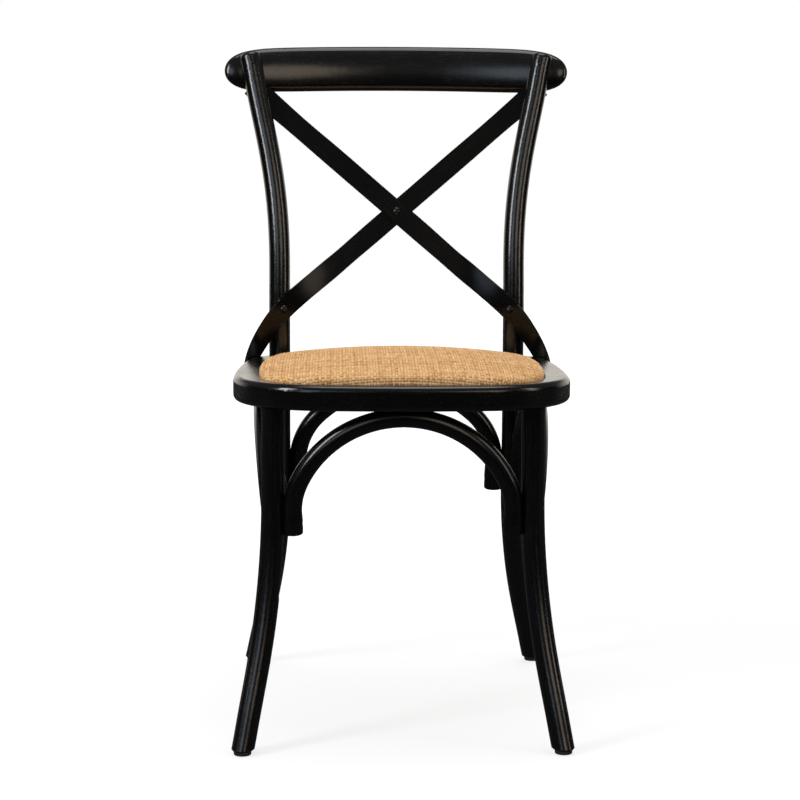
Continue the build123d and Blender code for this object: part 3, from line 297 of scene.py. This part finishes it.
class Value:
    """A shader value that takes part in Python arithmetic; each operation adds a Math node."""

    def __init__(self, nodes, socket):
        self.nodes = nodes
        self.socket = socket

    def math(self, operation, *others, clamp=False):
        inputs = dict(enumerate((self, *others)))
        made = self.nodes.add("ShaderNodeMath", {"operation": operation, "use_clamp": clamp}, inputs)
        return Value(self.nodes, made.outputs[0])

    def __add__(self, other):
        return self.math("ADD", other)

    __radd__ = __add__

    def __mul__(self, other):
        return self.math("MULTIPLY", other)

    def __sub__(self, other):
        return self.math("SUBTRACT", other)

    def __rsub__(self, other):
        return (self * -1) + other

    def __pow__(self, other):
        return self.math("POWER", other)

    def between(self, low, high):
        """0 below `low`, 1 above `high`, smooth between."""
        inputs = {"Value": self, "From Min": low, "From Max": high}
        made = self.nodes.add("ShaderNodeMapRange", {"interpolation_type": "SMOOTHSTEP"}, inputs)
        return Value(self.nodes, made.outputs[0])


class Nodes:
    """Node tree of a material or world; `add` makes any node from its type, settings and inputs."""

    def __init__(self, owner, output):
        owner.use_nodes = True
        self.tree = owner.node_tree
        self.tree.nodes.clear()
        self.output = self.tree.nodes.new(output)

    def add(self, kind, settings=None, inputs=None):
        made = self.tree.nodes.new(kind)
        for key, value in (settings or {}).items():
            setattr(made, key, value)
        for key, value in (inputs or {}).items():
            self.plug(made.inputs[key], value)
        return made

    def plug(self, socket, value):
        if isinstance(value, Value):
            value = value.socket
        if isinstance(value, bpy.types.NodeSocket):
            self.tree.links.new(value, socket)
        else:
            socket.default_value = value

    def value(self, kind, settings=None, inputs=None, output=0):
        return Value(self, self.add(kind, settings, inputs).outputs[output])

    def place(self):
        """Object coordinates, in metres."""
        return self.add("ShaderNodeTexCoord").outputs["Object"]

    def attribute(self, name):
        """The vector stored on the points of the piece."""
        return self.add("ShaderNodeAttribute", {"attribute_name": name}).outputs["Vector"]

    def parts(self, vector):
        """The three numbers of a vector."""
        made = self.add("ShaderNodeSeparateXYZ", None, {0: vector})
        return [Value(self, socket) for socket in made.outputs]

    def join(self, x, y, z):
        """A vector of three numbers."""
        return self.add("ShaderNodeCombineXYZ", None, {0: x, 1: y, 2: z}).outputs[0]

    def along(self, vector, direction):
        """How far a point lies along a direction."""
        settings = {"operation": "DOT_PRODUCT"}
        return Value(self, self.add("ShaderNodeVectorMath", settings, {0: vector, 1: direction}).outputs["Value"])

    def noise(self, vector, scale, detail):
        """Noise from 0 to 1."""
        inputs = {"Vector": vector, "Scale": scale, "Detail": detail, "Roughness": 0.55}
        return self.value("ShaderNodeTexNoise", {"noise_dimensions": "3D"}, inputs)

    def blend(self, share, first, second):
        """Colour between two colours."""
        made = self.add("ShaderNodeMix", {"data_type": "RGBA"}, {0: share, 6: first, 7: second})
        return made.outputs[2]

    def bump(self, height, distance, strength):
        """Normal of a surface raised by a height from 0 to 1."""
        inputs = {"Strength": strength, "Distance": distance, "Height": height}
        return self.add("ShaderNodeBump", None, inputs).outputs[0]

    def surface(self, shader):
        self.tree.links.new(shader, self.output.inputs["Surface"])

    def principled(self, **inputs):
        """Principled surface; spaces in socket names are written as underscores."""
        named = {key.replace("_", " "): value for key, value in inputs.items()}
        self.surface(self.add("ShaderNodeBsdfPrincipled", None, named).outputs[0])


def new_material(name):
    material = bpy.data.materials.new(name)
    return material, Nodes(material, "ShaderNodeOutputMaterial")


def rgba(colour, factor=1.0):
    """Colour with an alpha of 1."""
    return (*(channel * factor for channel in colour), 1.0)


def straight_grain(nodes, direction):
    """Grain coordinates of straight stock: along the grain, then two directions across it."""
    along = Vector(direction).normalized()
    across = along.cross(Vector((0.3, 0.9, 0.2))).normalized()
    third = along.cross(across)
    place = nodes.place()
    return [nodes.along(place, way) for way in (along, across, third)]


def ring_grain(nodes, centre, first, second, radius):
    """Grain coordinates of stock bent round a centre: angle * radius along, distance and height across."""
    first, second = Vector(first), Vector(second)
    place = nodes.place()
    right = nodes.along(place, first) - Vector(centre).dot(first)
    ahead = nodes.along(place, second) - Vector(centre).dot(second)
    angle = ahead.math("ARCTAN2", right)
    reach = (right * right + ahead * ahead).math("SQRT")
    return [angle * radius, reach, nodes.along(place, first.cross(second))]


def lacquer(name, grain, shine, settings):
    """Black lacquer over open-pored wood: pores and figure drawn out along the grain, warm wood in the pores,
    small changes of gloss where hands have polished it."""
    material, nodes = new_material(name)
    along, across, third = grain(nodes)
    pores = nodes.noise(nodes.join(along * 22, across * 900, third * 900), 1.0, 2.0)
    figure = nodes.noise(nodes.join(along * 5, across * 130, third * 130), 1.0, 4.0)
    rubbed = nodes.noise(nodes.place(), 14.0, 3.0)
    dust = nodes.noise(nodes.place(), 1600.0, 1.0)
    open_pore = pores.between(0.56, 0.70)
    warm = open_pore * figure.between(0.35, 0.7) * 0.55 + rubbed.between(0.55, 0.8) * 0.16
    roughness = settings.roughness + open_pore * 0.10 + (rubbed - 0.5) * 0.14 + (dust - 0.5) * 0.05
    height = (1 - open_pore) * 0.7 + figure * 0.25 + dust * 0.05
    nodes.principled(
        Base_Color=nodes.blend(warm, rgba(settings.black), rgba(settings.umber)),
        Roughness=roughness,
        Normal=nodes.bump(height, settings.pore_depth, 0.25),
        IOR=1.5,
        Specular_IOR_Level=0.5 * shine,
        Coat_Weight=0.25 * shine,
        Coat_Roughness=0.16,
    )
    return material


def woven_strand(name, settings):
    """Split rattan: each strand has its own tint, fibres along it and dark flecks; as painted shade it darkens
    towards its sides and in the dips where it passes under a crossing strand."""
    material, nodes = new_material(name)
    along, across, tint = nodes.parts(nodes.attribute("strand"))
    dip = nodes.parts(nodes.attribute("dip"))[0]
    fibres = nodes.noise(nodes.join(along * 60, across * 9, tint * 40), 1.0, 4.0)
    stain = nodes.noise(nodes.join(along * 45, tint * 170, tint * 50), 1.0, 3.0)
    fleck = nodes.noise(nodes.join(along * 160, tint * 910, tint * 77), 1.0, 2.0)
    # Painted shade: each strand darkens towards its two sides.
    edge = ((across - 0.5).math("ABSOLUTE") * 2) ** 3
    dark = tint * 0.8 + (fibres - 0.5) * 0.6 + (stain - 0.5) * 2.2 + edge * 0.3
    colour = nodes.blend(dark.math("ADD", 0.0, clamp=True), rgba(settings.straw), rgba(settings.honey))
    # Dark flecks are the cane's own marks; the darkening toward the scrim colour in the dips, where a strand passes
    # under a crossing strand, is painted shade.
    flecks_and_painted_shade = (fleck.between(0.61, 0.71) * 0.7).math("MAXIMUM", dip.between(0.3, 0.95) * 0.55)
    colour = nodes.blend(flecks_and_painted_shade, colour, rgba(settings.scrim))
    nodes.principled(
        Base_Color=colour,
        Roughness=0.46 + fibres * 0.2,
        Normal=nodes.bump(fibres, 0.0002, 0.6),
        Specular_IOR_Level=0.35,
    )
    return material


def scrim_cloth(name, colour):
    """Plain cloth of fine crossed threads."""
    material, nodes = new_material(name)
    thread_spacing = 0.0011
    x, y, z = nodes.parts(nodes.place())
    warp = (x * (2 * math.pi / thread_spacing)).math("SINE")
    weft = ((y + z) * (2 * math.pi / thread_spacing)).math("SINE")
    thread = (warp * weft) * 0.5 + 0.5
    mottle = nodes.noise(nodes.place(), 90.0, 3.0)
    shade = (thread * 0.45 + mottle * 0.55).math("ADD", 0.0, clamp=True)
    nodes.principled(
        Base_Color=nodes.blend(shade, rgba(colour, 0.6), rgba(colour, 1.25)),
        Roughness=0.85 + mottle * 0.1,
        Normal=nodes.bump(thread, 0.0003, 0.5),
    )
    return material


def metal(name, colour, metallic, roughness, wear):
    """Turned metal: fine scratches, small patches of duller finish and lighter worn spots."""
    material, nodes = new_material(name)
    x, y, z = nodes.parts(nodes.place())
    scratch = nodes.noise(nodes.join(x * 2600, y * 2600, z * 300), 1.0, 3.0)
    patch = nodes.noise(nodes.place(), 260.0, 3.0)
    worn = patch.between(0.52, 0.74)
    nodes.principled(
        Base_Color=nodes.blend(worn, rgba(colour), rgba(wear)),
        Metallic=metallic,
        Roughness=roughness + (scratch - 0.5) * 0.16 + (patch - 0.5) * 0.12,
        Normal=nodes.bump(scratch, 0.00006, 0.5),
    )
    return material


def plywood(name):
    """Raw birch face: long pale figure with thin darker pores."""
    material, nodes = new_material(name)
    x, y, z = nodes.parts(nodes.place())
    figure = nodes.noise(nodes.join(x * 3, y * 60, z * 60), 1.0, 5.0)
    pores = nodes.noise(nodes.join(x * 30, y * 1400, z * 1400), 1.0, 2.0)
    tone = (figure * 0.8 + pores * 0.3).math("ADD", 0.0, clamp=True)
    nodes.principled(
        Base_Color=nodes.blend(tone, (0.66, 0.46, 0.27, 1), (0.42, 0.25, 0.12, 1)),
        Roughness=0.62 + pores * 0.15,
        Normal=nodes.bump(pores, 0.0002, 0.5),
    )
    return material


def glide_plastic(name):
    """Dull moulded plastic, scuffed by the floor."""
    material, nodes = new_material(name)
    grit = nodes.noise(nodes.place(), 2400.0, 2.0)
    scuff = nodes.noise(nodes.place(), 300.0, 4.0)
    nodes.principled(
        Base_Color=nodes.blend(scuff.between(0.5, 0.75), (0.014, 0.014, 0.015, 1), (0.045, 0.044, 0.043, 1)),
        Roughness=0.55 + (scuff - 0.5) * 0.25,
        Normal=nodes.bump(grit, 0.00012, 0.5),
    )
    return material


def dress(names, material):
    """Give solids a finish through their material slots."""
    for name in names:
        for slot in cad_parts[name].material_slots:
            slot.material = material


class CHAIR_OT_pad_core(bpy.types.Operator):
    """Make the crowned pad under the weave"""

    bl_idname = "chair.pad_core"
    bl_label = "Pad core"

    def execute(self, context):
        settings = context.scene.chair_pad
        sink = settings.strand_thickness + 2 * settings.weave_depth
        around = RIM_COUNT
        rim, normal = rim_points(around)
        middle = np.array([0.0, PAD_MIDDLE])
        edge = rim - normal * field_inset(settings)
        bottom = BOARD_HIGH[2] + 0.0003
        flats = [middle + (edge - middle) * share for share in np.linspace(0.06, 1.0, 16)]
        flats += [edge + normal * past for past in np.linspace(0, roll_length(settings), 9)[1:]]
        rings = [drape(flat[:, 0], flat[:, 1], -sink, settings)[0] for flat in flats]
        upright = rings[-1]
        foot = np.column_stack([upright[:, :2], np.full(around, bottom)])
        rings += [(upright + foot) / 2, foot]
        for share in (0.7, 0.35, 0.06):
            flat = middle + (foot[:, :2] - middle) * share
            rings.append(np.column_stack([flat, np.full(around, bottom)]))
        poles = np.array([(*middle, COVER_HIGH[2] - sink), (*middle, bottom)])
        points = np.concatenate([*rings, poles])
        count = len(rings) * around
        faces = [
            ring_faces(len(rings), around),
            fan_faces(count, 0, around, True),
            fan_faces(count + 1, count - around, around, False),
        ]
        material = scrim_cloth("pad scrim", settings.scrim)
        pad = add_piece("seat_pad", new_mesh("seat_pad", points, faces), material)
        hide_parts("seat_foam")
        return {"FINISHED"}


def strand_places(low, high, bunching, seed, settings):
    """Places of strands across the sheet: an even pitch, each group of four drawn together, each strand astray."""
    count = 4 * math.ceil((high - low) / settings.pitch / 4)
    number = np.arange(count)
    group, member = number // 4, number % 4
    drawn = group * 4 + 1.5 + (member - 1.5) * (1 - bunching)
    astray = np.random.default_rng(seed).uniform(-settings.unevenness, settings.unevenness, count)
    return (low + high) / 2 + (drawn + astray - (count - 1) / 2) * settings.pitch


def weave(own, crossed, width, swap, seed, settings):
    """Strands at the places `own`, each over and under the strands at the places `crossed`.

    A strand's middle line lies on the draped sheet, lifted by depth * cos(pi * (own number + crossed number)).
    Strands that run from side to side are the darker ones.
    It is sampled at every crossing and halfway between, and carries a flattened five-cornered section."""
    step = np.arange(0, len(crossed) - 0.5, 0.5)
    run = np.interp(step, np.arange(len(crossed)), crossed)
    number, sample = np.meshgrid(np.arange(len(own)), np.arange(len(step)), indexing="ij")
    across, along = own[number], run[sample]
    base = -settings.strand_thickness / 2 - settings.weave_depth
    sign = -1 if swap else 1
    wave = sign * np.cos(np.pi * (number + step[sample]))
    lift = base + settings.weave_depth * wave

    def sheet(across_at, lift_at):
        flat = (along, across_at) if swap else (across_at, along)
        return drape(*flat, lift_at, settings)

    middle, past = sheet(across, lift)
    nudge = 1e-4
    sideways = sheet(across + nudge, lift)[0] - sheet(across - nudge, lift)[0]
    sideways /= np.linalg.norm(sideways, axis=-1, keepdims=True)
    outward = sheet(across, lift + nudge)[0] - middle
    outward /= np.linalg.norm(outward, axis=-1, keepdims=True)
    half, thick = width / 2, settings.strand_thickness / 2
    section = np.array([(-half, -0.3 * thick), (-0.55 * half, 0.85 * thick), (0.55 * half, 0.85 * thick),
                        (half, -0.3 * thick), (0.0, -thick)])
    corners = len(section)
    points = (middle[..., None, :] + sideways[..., None, :] * section[:, 0, None]
              + outward[..., None, :] * section[:, 1, None])
    keep = past <= roll_length(settings) + settings.wall
    place = np.where(keep, np.cumsum(keep.ravel()).reshape(keep.shape) - 1, -1)
    linked = keep[:, :-1] & keep[:, 1:]
    here, ahead = place[:, :-1][linked], place[:, 1:][linked]
    corner = np.arange(corners)
    beside = (corner + 1) % corners
    quads = np.stack([
        here[:, None] * corners + corner, here[:, None] * corners + beside,
        ahead[:, None] * corners + beside, ahead[:, None] * corners + corner], axis=-1).reshape(-1, 4)
    first = keep & ~np.pad(keep[:, :-1], ((0, 0), (1, 0)))
    last = keep & ~np.pad(keep[:, 1:], ((0, 0), (0, 1)))
    fan = np.stack([np.zeros(corners - 2, dtype=int), corner[1:-1], corner[2:]], axis=-1)
    caps = np.concatenate([
        place[last][:, None, None] * corners + fan,
        place[first][:, None, None] * corners + fan[:, ::-1]]).reshape(-1, 3)
    if swap:
        quads, caps = quads[:, ::-1], caps[:, ::-1]
    tint = np.random.default_rng(seed).random(len(own)) * 0.55 + (0.45 if swap else 0.0)
    shape = (*along.shape, corners)
    side = np.broadcast_to(section[:, 0] / width + 0.5, shape)
    strand = np.stack([
        np.broadcast_to((along + own[number] * 7)[..., None], shape), side,
        np.broadcast_to(tint[number][..., None], shape)], axis=-1)
    # The first number is how far the point lies down in the weave's wave; the material paints shade in the dips with
    # it.
    dip = np.stack([np.broadcast_to(((1 - wave) / 2)[..., None], shape), side, side], axis=-1)
    attributes = [("strand", strand[keep].reshape(-1, 3)), ("dip", dip[keep].reshape(-1, 3))]
    return points[keep].reshape(-1, 3), [quads, caps], attributes


class CHAIR_OT_pad_weave(bpy.types.Operator):
    """Weave the rattan cover over the pad"""

    bl_idname = "chair.pad_weave"
    bl_label = "Woven cover"

    def execute(self, context):
        settings = context.scene.chair_pad
        reach = roll_length(settings) + settings.wall - field_inset(settings)
        lengthwise = strand_places(
            COVER_LOW[0] - reach, COVER_HIGH[0] + reach, settings.bunching, RANDOM_SEED + 2, settings)
        crosswise = strand_places(COVER_LOW[1] - reach, COVER_HIGH[1] + reach, 0.0, RANDOM_SEED + 3, settings)
        material = woven_strand("woven rattan", settings)
        warp = new_mesh("warp", *weave(lengthwise, crosswise, settings.strand_width, False, RANDOM_SEED, settings))
        weft = new_mesh("weft", *weave(crosswise, lengthwise, settings.cross_width, True, RANDOM_SEED + 1, settings))
        cover = add_piece("weave_lengthwise", warp, material)
        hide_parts("seat_cover")
        add_piece("weave_crosswise", weft, material)
        return {"FINISHED"}


class CHAIR_OT_pad_hem(bpy.types.Operator):
    """Turn the cover's cloth hem under the seat board"""

    bl_idname = "chair.pad_hem"
    bl_label = "Cover hem"

    def execute(self, context):
        around = RIM_COUNT
        rim, normal = rim_points(around)
        outer, width, rise = CLEARANCE, 0.0315, 0.0055
        inner = COVER_HIGH[0] - BOARD_HIGH[0] - 2 * CLEARANCE
        low, board, top = COVER_LOW[2] + CLEARANCE, BOARD_LOW[2] - CLEARANCE, COVER_LOW[2] + rise
        profile = [(outer, top), (outer, low + 0.001), (outer + 0.0003, low + 0.0003), (outer + 0.001, low),
                   (width, low), (width + 0.0002, (low + board) / 2), (width, board), (inner, board), (inner, top)]
        rings = [np.column_stack([rim - normal * inset, np.full(around, height)]) for inset, height in profile]
        rings.append(rings[0])
        points = np.concatenate(rings[:-1])
        faces = ring_faces(len(rings), around) % len(points)
        material = scrim_cloth("hem cloth", (0.36, 0.22, 0.105))
        add_piece("cover_hem", new_mesh("cover_hem", points, [faces]), material)
        return {"FINISHED"}


class CHAIR_OT_lacquered_wood(bpy.types.Operator):
    """Finish every lacquered piece with grain that follows its bend"""

    bl_idname = "chair.lacquered_wood"
    bl_label = "Lacquered wood"

    def execute(self, context):
        settings = context.scene.chair_lacquer
        right, ahead, up = (1, 0, 0), (0, 1, 0), (0, 0, 1)
        hoop_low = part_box("front_hoop")[0][2]

        def straight(direction):
            return lambda nodes: straight_grain(nodes, direction)

        def bent(centre, first, second, radius):
            return lambda nodes: ring_grain(nodes, centre, first, second, radius)

        finishes = (
            ("lacquer uprights", straight(up), 1.0, (
                "rear_post_right", "rear_post_left", "front_leg_right", "front_leg_left", "post_plugs")),
            ("lacquer rail", straight(right), 1.0, ("crest_rail",)),
            ("lacquer right strap", straight((0.7, -0.12, -0.65)), 0.4, ("cross_strap_right_foot",)),
            ("lacquer left strap", straight((-0.7, -0.12, -0.65)), 0.4, ("cross_strap_left_foot",)),
            ("lacquer ring", bent((0, PAD_MIDDLE, 0), ahead, (-1, 0, 0), 0.2), 1.0, ("seat_frame",)),
            ("lacquer arches", bent((0, 0, hoop_low), up, right, 0.13), 0.8, ("front_hoop", "rear_hoop")),
            ("lacquer side arches", bent((0, PAD_MIDDLE + 0.02, hoop_low), up, ahead, 0.13), 0.8, (
                "side_hoop_right", "side_hoop_left")),
        )
        for name, grain, shine, pieces in finishes:
            dress(pieces, lacquer(name, grain, shine, settings))
        return {"FINISHED"}


class CHAIR_OT_fixings(bpy.types.Operator):
    """Finish screws, bolts, the seat board and the glides"""

    bl_idname = "chair.fixings"
    bl_label = "Fixings, board and glides"

    def execute(self, context):
        blackened = metal("blackened steel", (0.020, 0.020, 0.022), 0.75, 0.30, (0.055, 0.052, 0.05))
        zinc = metal("zinc plate", (0.58, 0.59, 0.61), 1.0, 0.34, (0.44, 0.45, 0.46))
        dress(("rail_pins", "cross_rivet", "cross_rivet_washer", "strap_bolts", "strap_cap_nuts", "strap_top_screws",
               "strap_foot_screws", "hoop_leg_screws", "hoop_crown_screws"), blackened)
        dress(("cover_staples", "board_screws", "post_lag_screws", "leg_lock_screws", "glide_nails"), zinc)
        dress(("seat_board",), plywood("birch plywood"))
        dress(("front_glide_right", "front_glide_left", "rear_glide_right", "rear_glide_left"),
              glide_plastic("glide plastic"))
        return {"FINISHED"}


def area_lamp(name, place, target, size, power, colour):
    """Soft rectangular lamp aimed at a point."""
    lamp = bpy.data.lights.new(name, "AREA")
    lamp.shape = "RECTANGLE"
    lamp.size, lamp.size_y = size
    lamp.energy = power
    lamp.color = colour
    holder = bpy.data.objects.new(name, lamp)
    bpy.context.scene.collection.objects.link(holder)
    holder.location = place
    holder.rotation_euler = (Vector(target) - Vector(place)).to_track_quat("-Z", "Y").to_euler()


class CHAIR_OT_studio(bpy.types.Operator):
    """Set up the pale floor, the soft lamps and the camera"""

    bl_idname = "chair.studio"
    bl_label = "Studio"

    def execute(self, context):
        settings = context.scene.chair_studio
        context.scene.view_settings.view_transform = "Standard"
        self.make_floor()
        self.make_room(context, settings)
        seat = (0, 0, 0.5)
        area_lamp("key lamp", (-2.3, -1.6, 1.9), seat, (0.7, 1.6), settings.key, (0.95, 0.975, 1.0))
        area_lamp("top lamp", (0.1, 0.1, 2.9), seat, (1.6, 1.6), settings.top, (1.0, 0.99, 0.98))
        area_lamp("right lamp", (2.4, -1.0, 1.3), seat, (0.5, 1.6), settings.rim, (1.0, 0.93, 0.85))
        self.make_camera(context, settings)
        return {"FINISHED"}

    def make_floor(self):
        """Wide sheet on the floor that keeps the soft shadow and glows to pure white away from the chair."""
        low, high, level = (-5.0, -1.1), (5.0, 7.0), -0.0004
        points = np.array([(x, y, level) for y in (low[1], high[1]) for x in (low[0], high[0])])
        mesh = new_mesh("floor", points, [np.array([(0, 1, 3, 2)])])
        material, nodes = new_material("pale floor")
        path = nodes.add("ShaderNodeLightPath").outputs
        seen = Value(nodes, path["Is Camera Ray"]).math("MAXIMUM", Value(nodes, path["Is Transmission Ray"]))
        x, y, z = nodes.parts(nodes.place())
        away = (x * x + y * y).math("SQRT").between(0.7, 1.5)
        lit = nodes.add("ShaderNodeBsdfDiffuse", None, {"Color": (0.34, 0.34, 0.34, 1)}).outputs[0]
        near_glow = 0.74
        level_glow = away * (1 - near_glow) + near_glow
        glow = nodes.add("ShaderNodeEmission", None, {"Color": nodes.join(*[level_glow] * 3)}).outputs[0]
        shown = nodes.add("ShaderNodeAddShader", None, {0: lit, 1: glow}).outputs[0]
        plain = nodes.add("ShaderNodeBsdfDiffuse", None, {"Color": (0.8, 0.8, 0.8, 1)}).outputs[0]
        # In reflections the floor shows as this dim glow instead of its lit colour: a painted dark reflection.
        dim = nodes.add("ShaderNodeEmission", None, {"Strength": 0.045}).outputs[0]
        plain = nodes.add("ShaderNodeMixShader", None, {0: path["Is Glossy Ray"], 1: plain, 2: dim}).outputs[0]
        nodes.surface(nodes.add("ShaderNodeMixShader", None, {0: seen, 1: plain, 2: shown}).outputs[0])
        mesh.materials.append(material)
        floor = bpy.data.objects.new("floor", mesh)
        bpy.context.scene.collection.objects.link(floor)

    def make_room(self, context, settings):
        """White for the camera; in the lacquer's shine white behind the chair and dark before it, with a cool and
        a warm soft box; dim for light."""
        world = bpy.data.worlds.new("studio room")
        context.scene.world = world
        nodes = Nodes(world, "ShaderNodeOutputWorld")
        path = nodes.add("ShaderNodeLightPath").outputs
        camera, glossy = Value(nodes, path["Is Camera Ray"]), Value(nodes, path["Is Glossy Ray"])
        way = nodes.add("ShaderNodeTexCoord").outputs["Generated"]
        x, y, z = nodes.parts(way)
        behind = y.between(0.35, 0.75) * (1 - z.between(0.22, 0.45))
        box_edge = (0.968, 0.990)
        cool_box = nodes.along(way, (-0.36, -0.88, 0.31)).between(*box_edge)
        warm_box = nodes.along(way, (0.36, -0.88, 0.31)).between(*box_edge)
        above = (z.between(0.08, 0.4) * 0.11 + 0.014) * (1 - behind)
        before = 1 - y.between(-0.95, -0.2)
        light = (z.between(-0.15, 0.5) * 0.75 + y.between(-0.6, 0.5) * 0.35 + before * 0.5 + 0.06) * settings.sky
        colour = []
        for wall, cool, warm in ((1.06, 1.15, 1.9), (1.0, 1.35, 1.6), (0.90, 1.6, 1.25)):
            shine = behind * wall + above + cool_box * cool + warm_box * warm
            colour.append(camera + (1 - camera) * (glossy * shine + (1 - glossy) * light))
        back = nodes.add("ShaderNodeBackground", None, {"Color": nodes.join(*colour), "Strength": 1.0})
        nodes.surface(back.outputs[0])

    def make_camera(self, context, settings):
        """Camera that looks along +Y, turned by yaw, tilted by pitch and rolled."""
        yaw, pitch, roll = settings.yaw, settings.pitch, settings.roll
        level = Vector((math.sin(yaw), math.cos(yaw), 0))
        forward = level * math.cos(pitch) + Vector((0, 0, math.sin(pitch)))
        right = Vector((math.cos(yaw), -math.sin(yaw), 0))
        up = right.cross(forward)
        tilted_right = right * math.cos(roll) + up * math.sin(roll)
        tilted_up = up * math.cos(roll) - right * math.sin(roll)
        lens = bpy.data.cameras.new("studio camera")
        lens.sensor_width = 36.0
        lens.lens = settings.lens
        camera = bpy.data.objects.new("studio camera", lens)
        context.scene.collection.objects.link(camera)
        turn = Matrix((tilted_right, tilted_up, -forward)).transposed()
        camera.matrix_world = Matrix.Translation(settings.eye) @ turn.to_4x4()
        context.scene.camera = camera


class CHAIR_PT_looks(bpy.types.Panel):
    """Sidebar panel with the steps that dress the chair"""

    bl_label = "Chair looks"
    bl_idname = "CHAIR_PT_looks"
    bl_space_type = "VIEW_3D"
    bl_region_type = "UI"
    bl_category = "Chair"

    def draw(self, context):
        for operator in OPERATORS:
            self.layout.operator(operator.bl_idname)
        for name in SETTINGS:
            group = getattr(context.scene, name)
            box = self.layout.box()
            for key in group.__annotations__:
                box.prop(group, key)


OPERATORS = (CHAIR_OT_pad_core, CHAIR_OT_pad_weave, CHAIR_OT_pad_hem, CHAIR_OT_lacquered_wood, CHAIR_OT_fixings,
             CHAIR_OT_studio)
SETTINGS = {"chair_pad": SeatPadSettings, "chair_lacquer": LacquerSettings, "chair_studio": StudioSettings}


def register():
    for kind in (*SETTINGS.values(), *OPERATORS, CHAIR_PT_looks):
        bpy.utils.register_class(kind)
    for name, kind in SETTINGS.items():
        setattr(bpy.types.Scene, name, bpy.props.PointerProperty(type=kind))


def unregister():
    for name in SETTINGS:
        delattr(bpy.types.Scene, name)
    for kind in (CHAIR_PT_looks, *reversed(OPERATORS), *reversed(SETTINGS.values())):
        bpy.utils.unregister_class(kind)


def main():
    """Dress the chair step by step."""
    register()
    bpy.ops.chair.pad_core()
    bpy.ops.chair.pad_weave()
    bpy.ops.chair.pad_hem()
    bpy.ops.chair.lacquered_wood()
    bpy.ops.chair.fixings()
    bpy.ops.chair.studio()


if __name__ == "__main__":
    main()
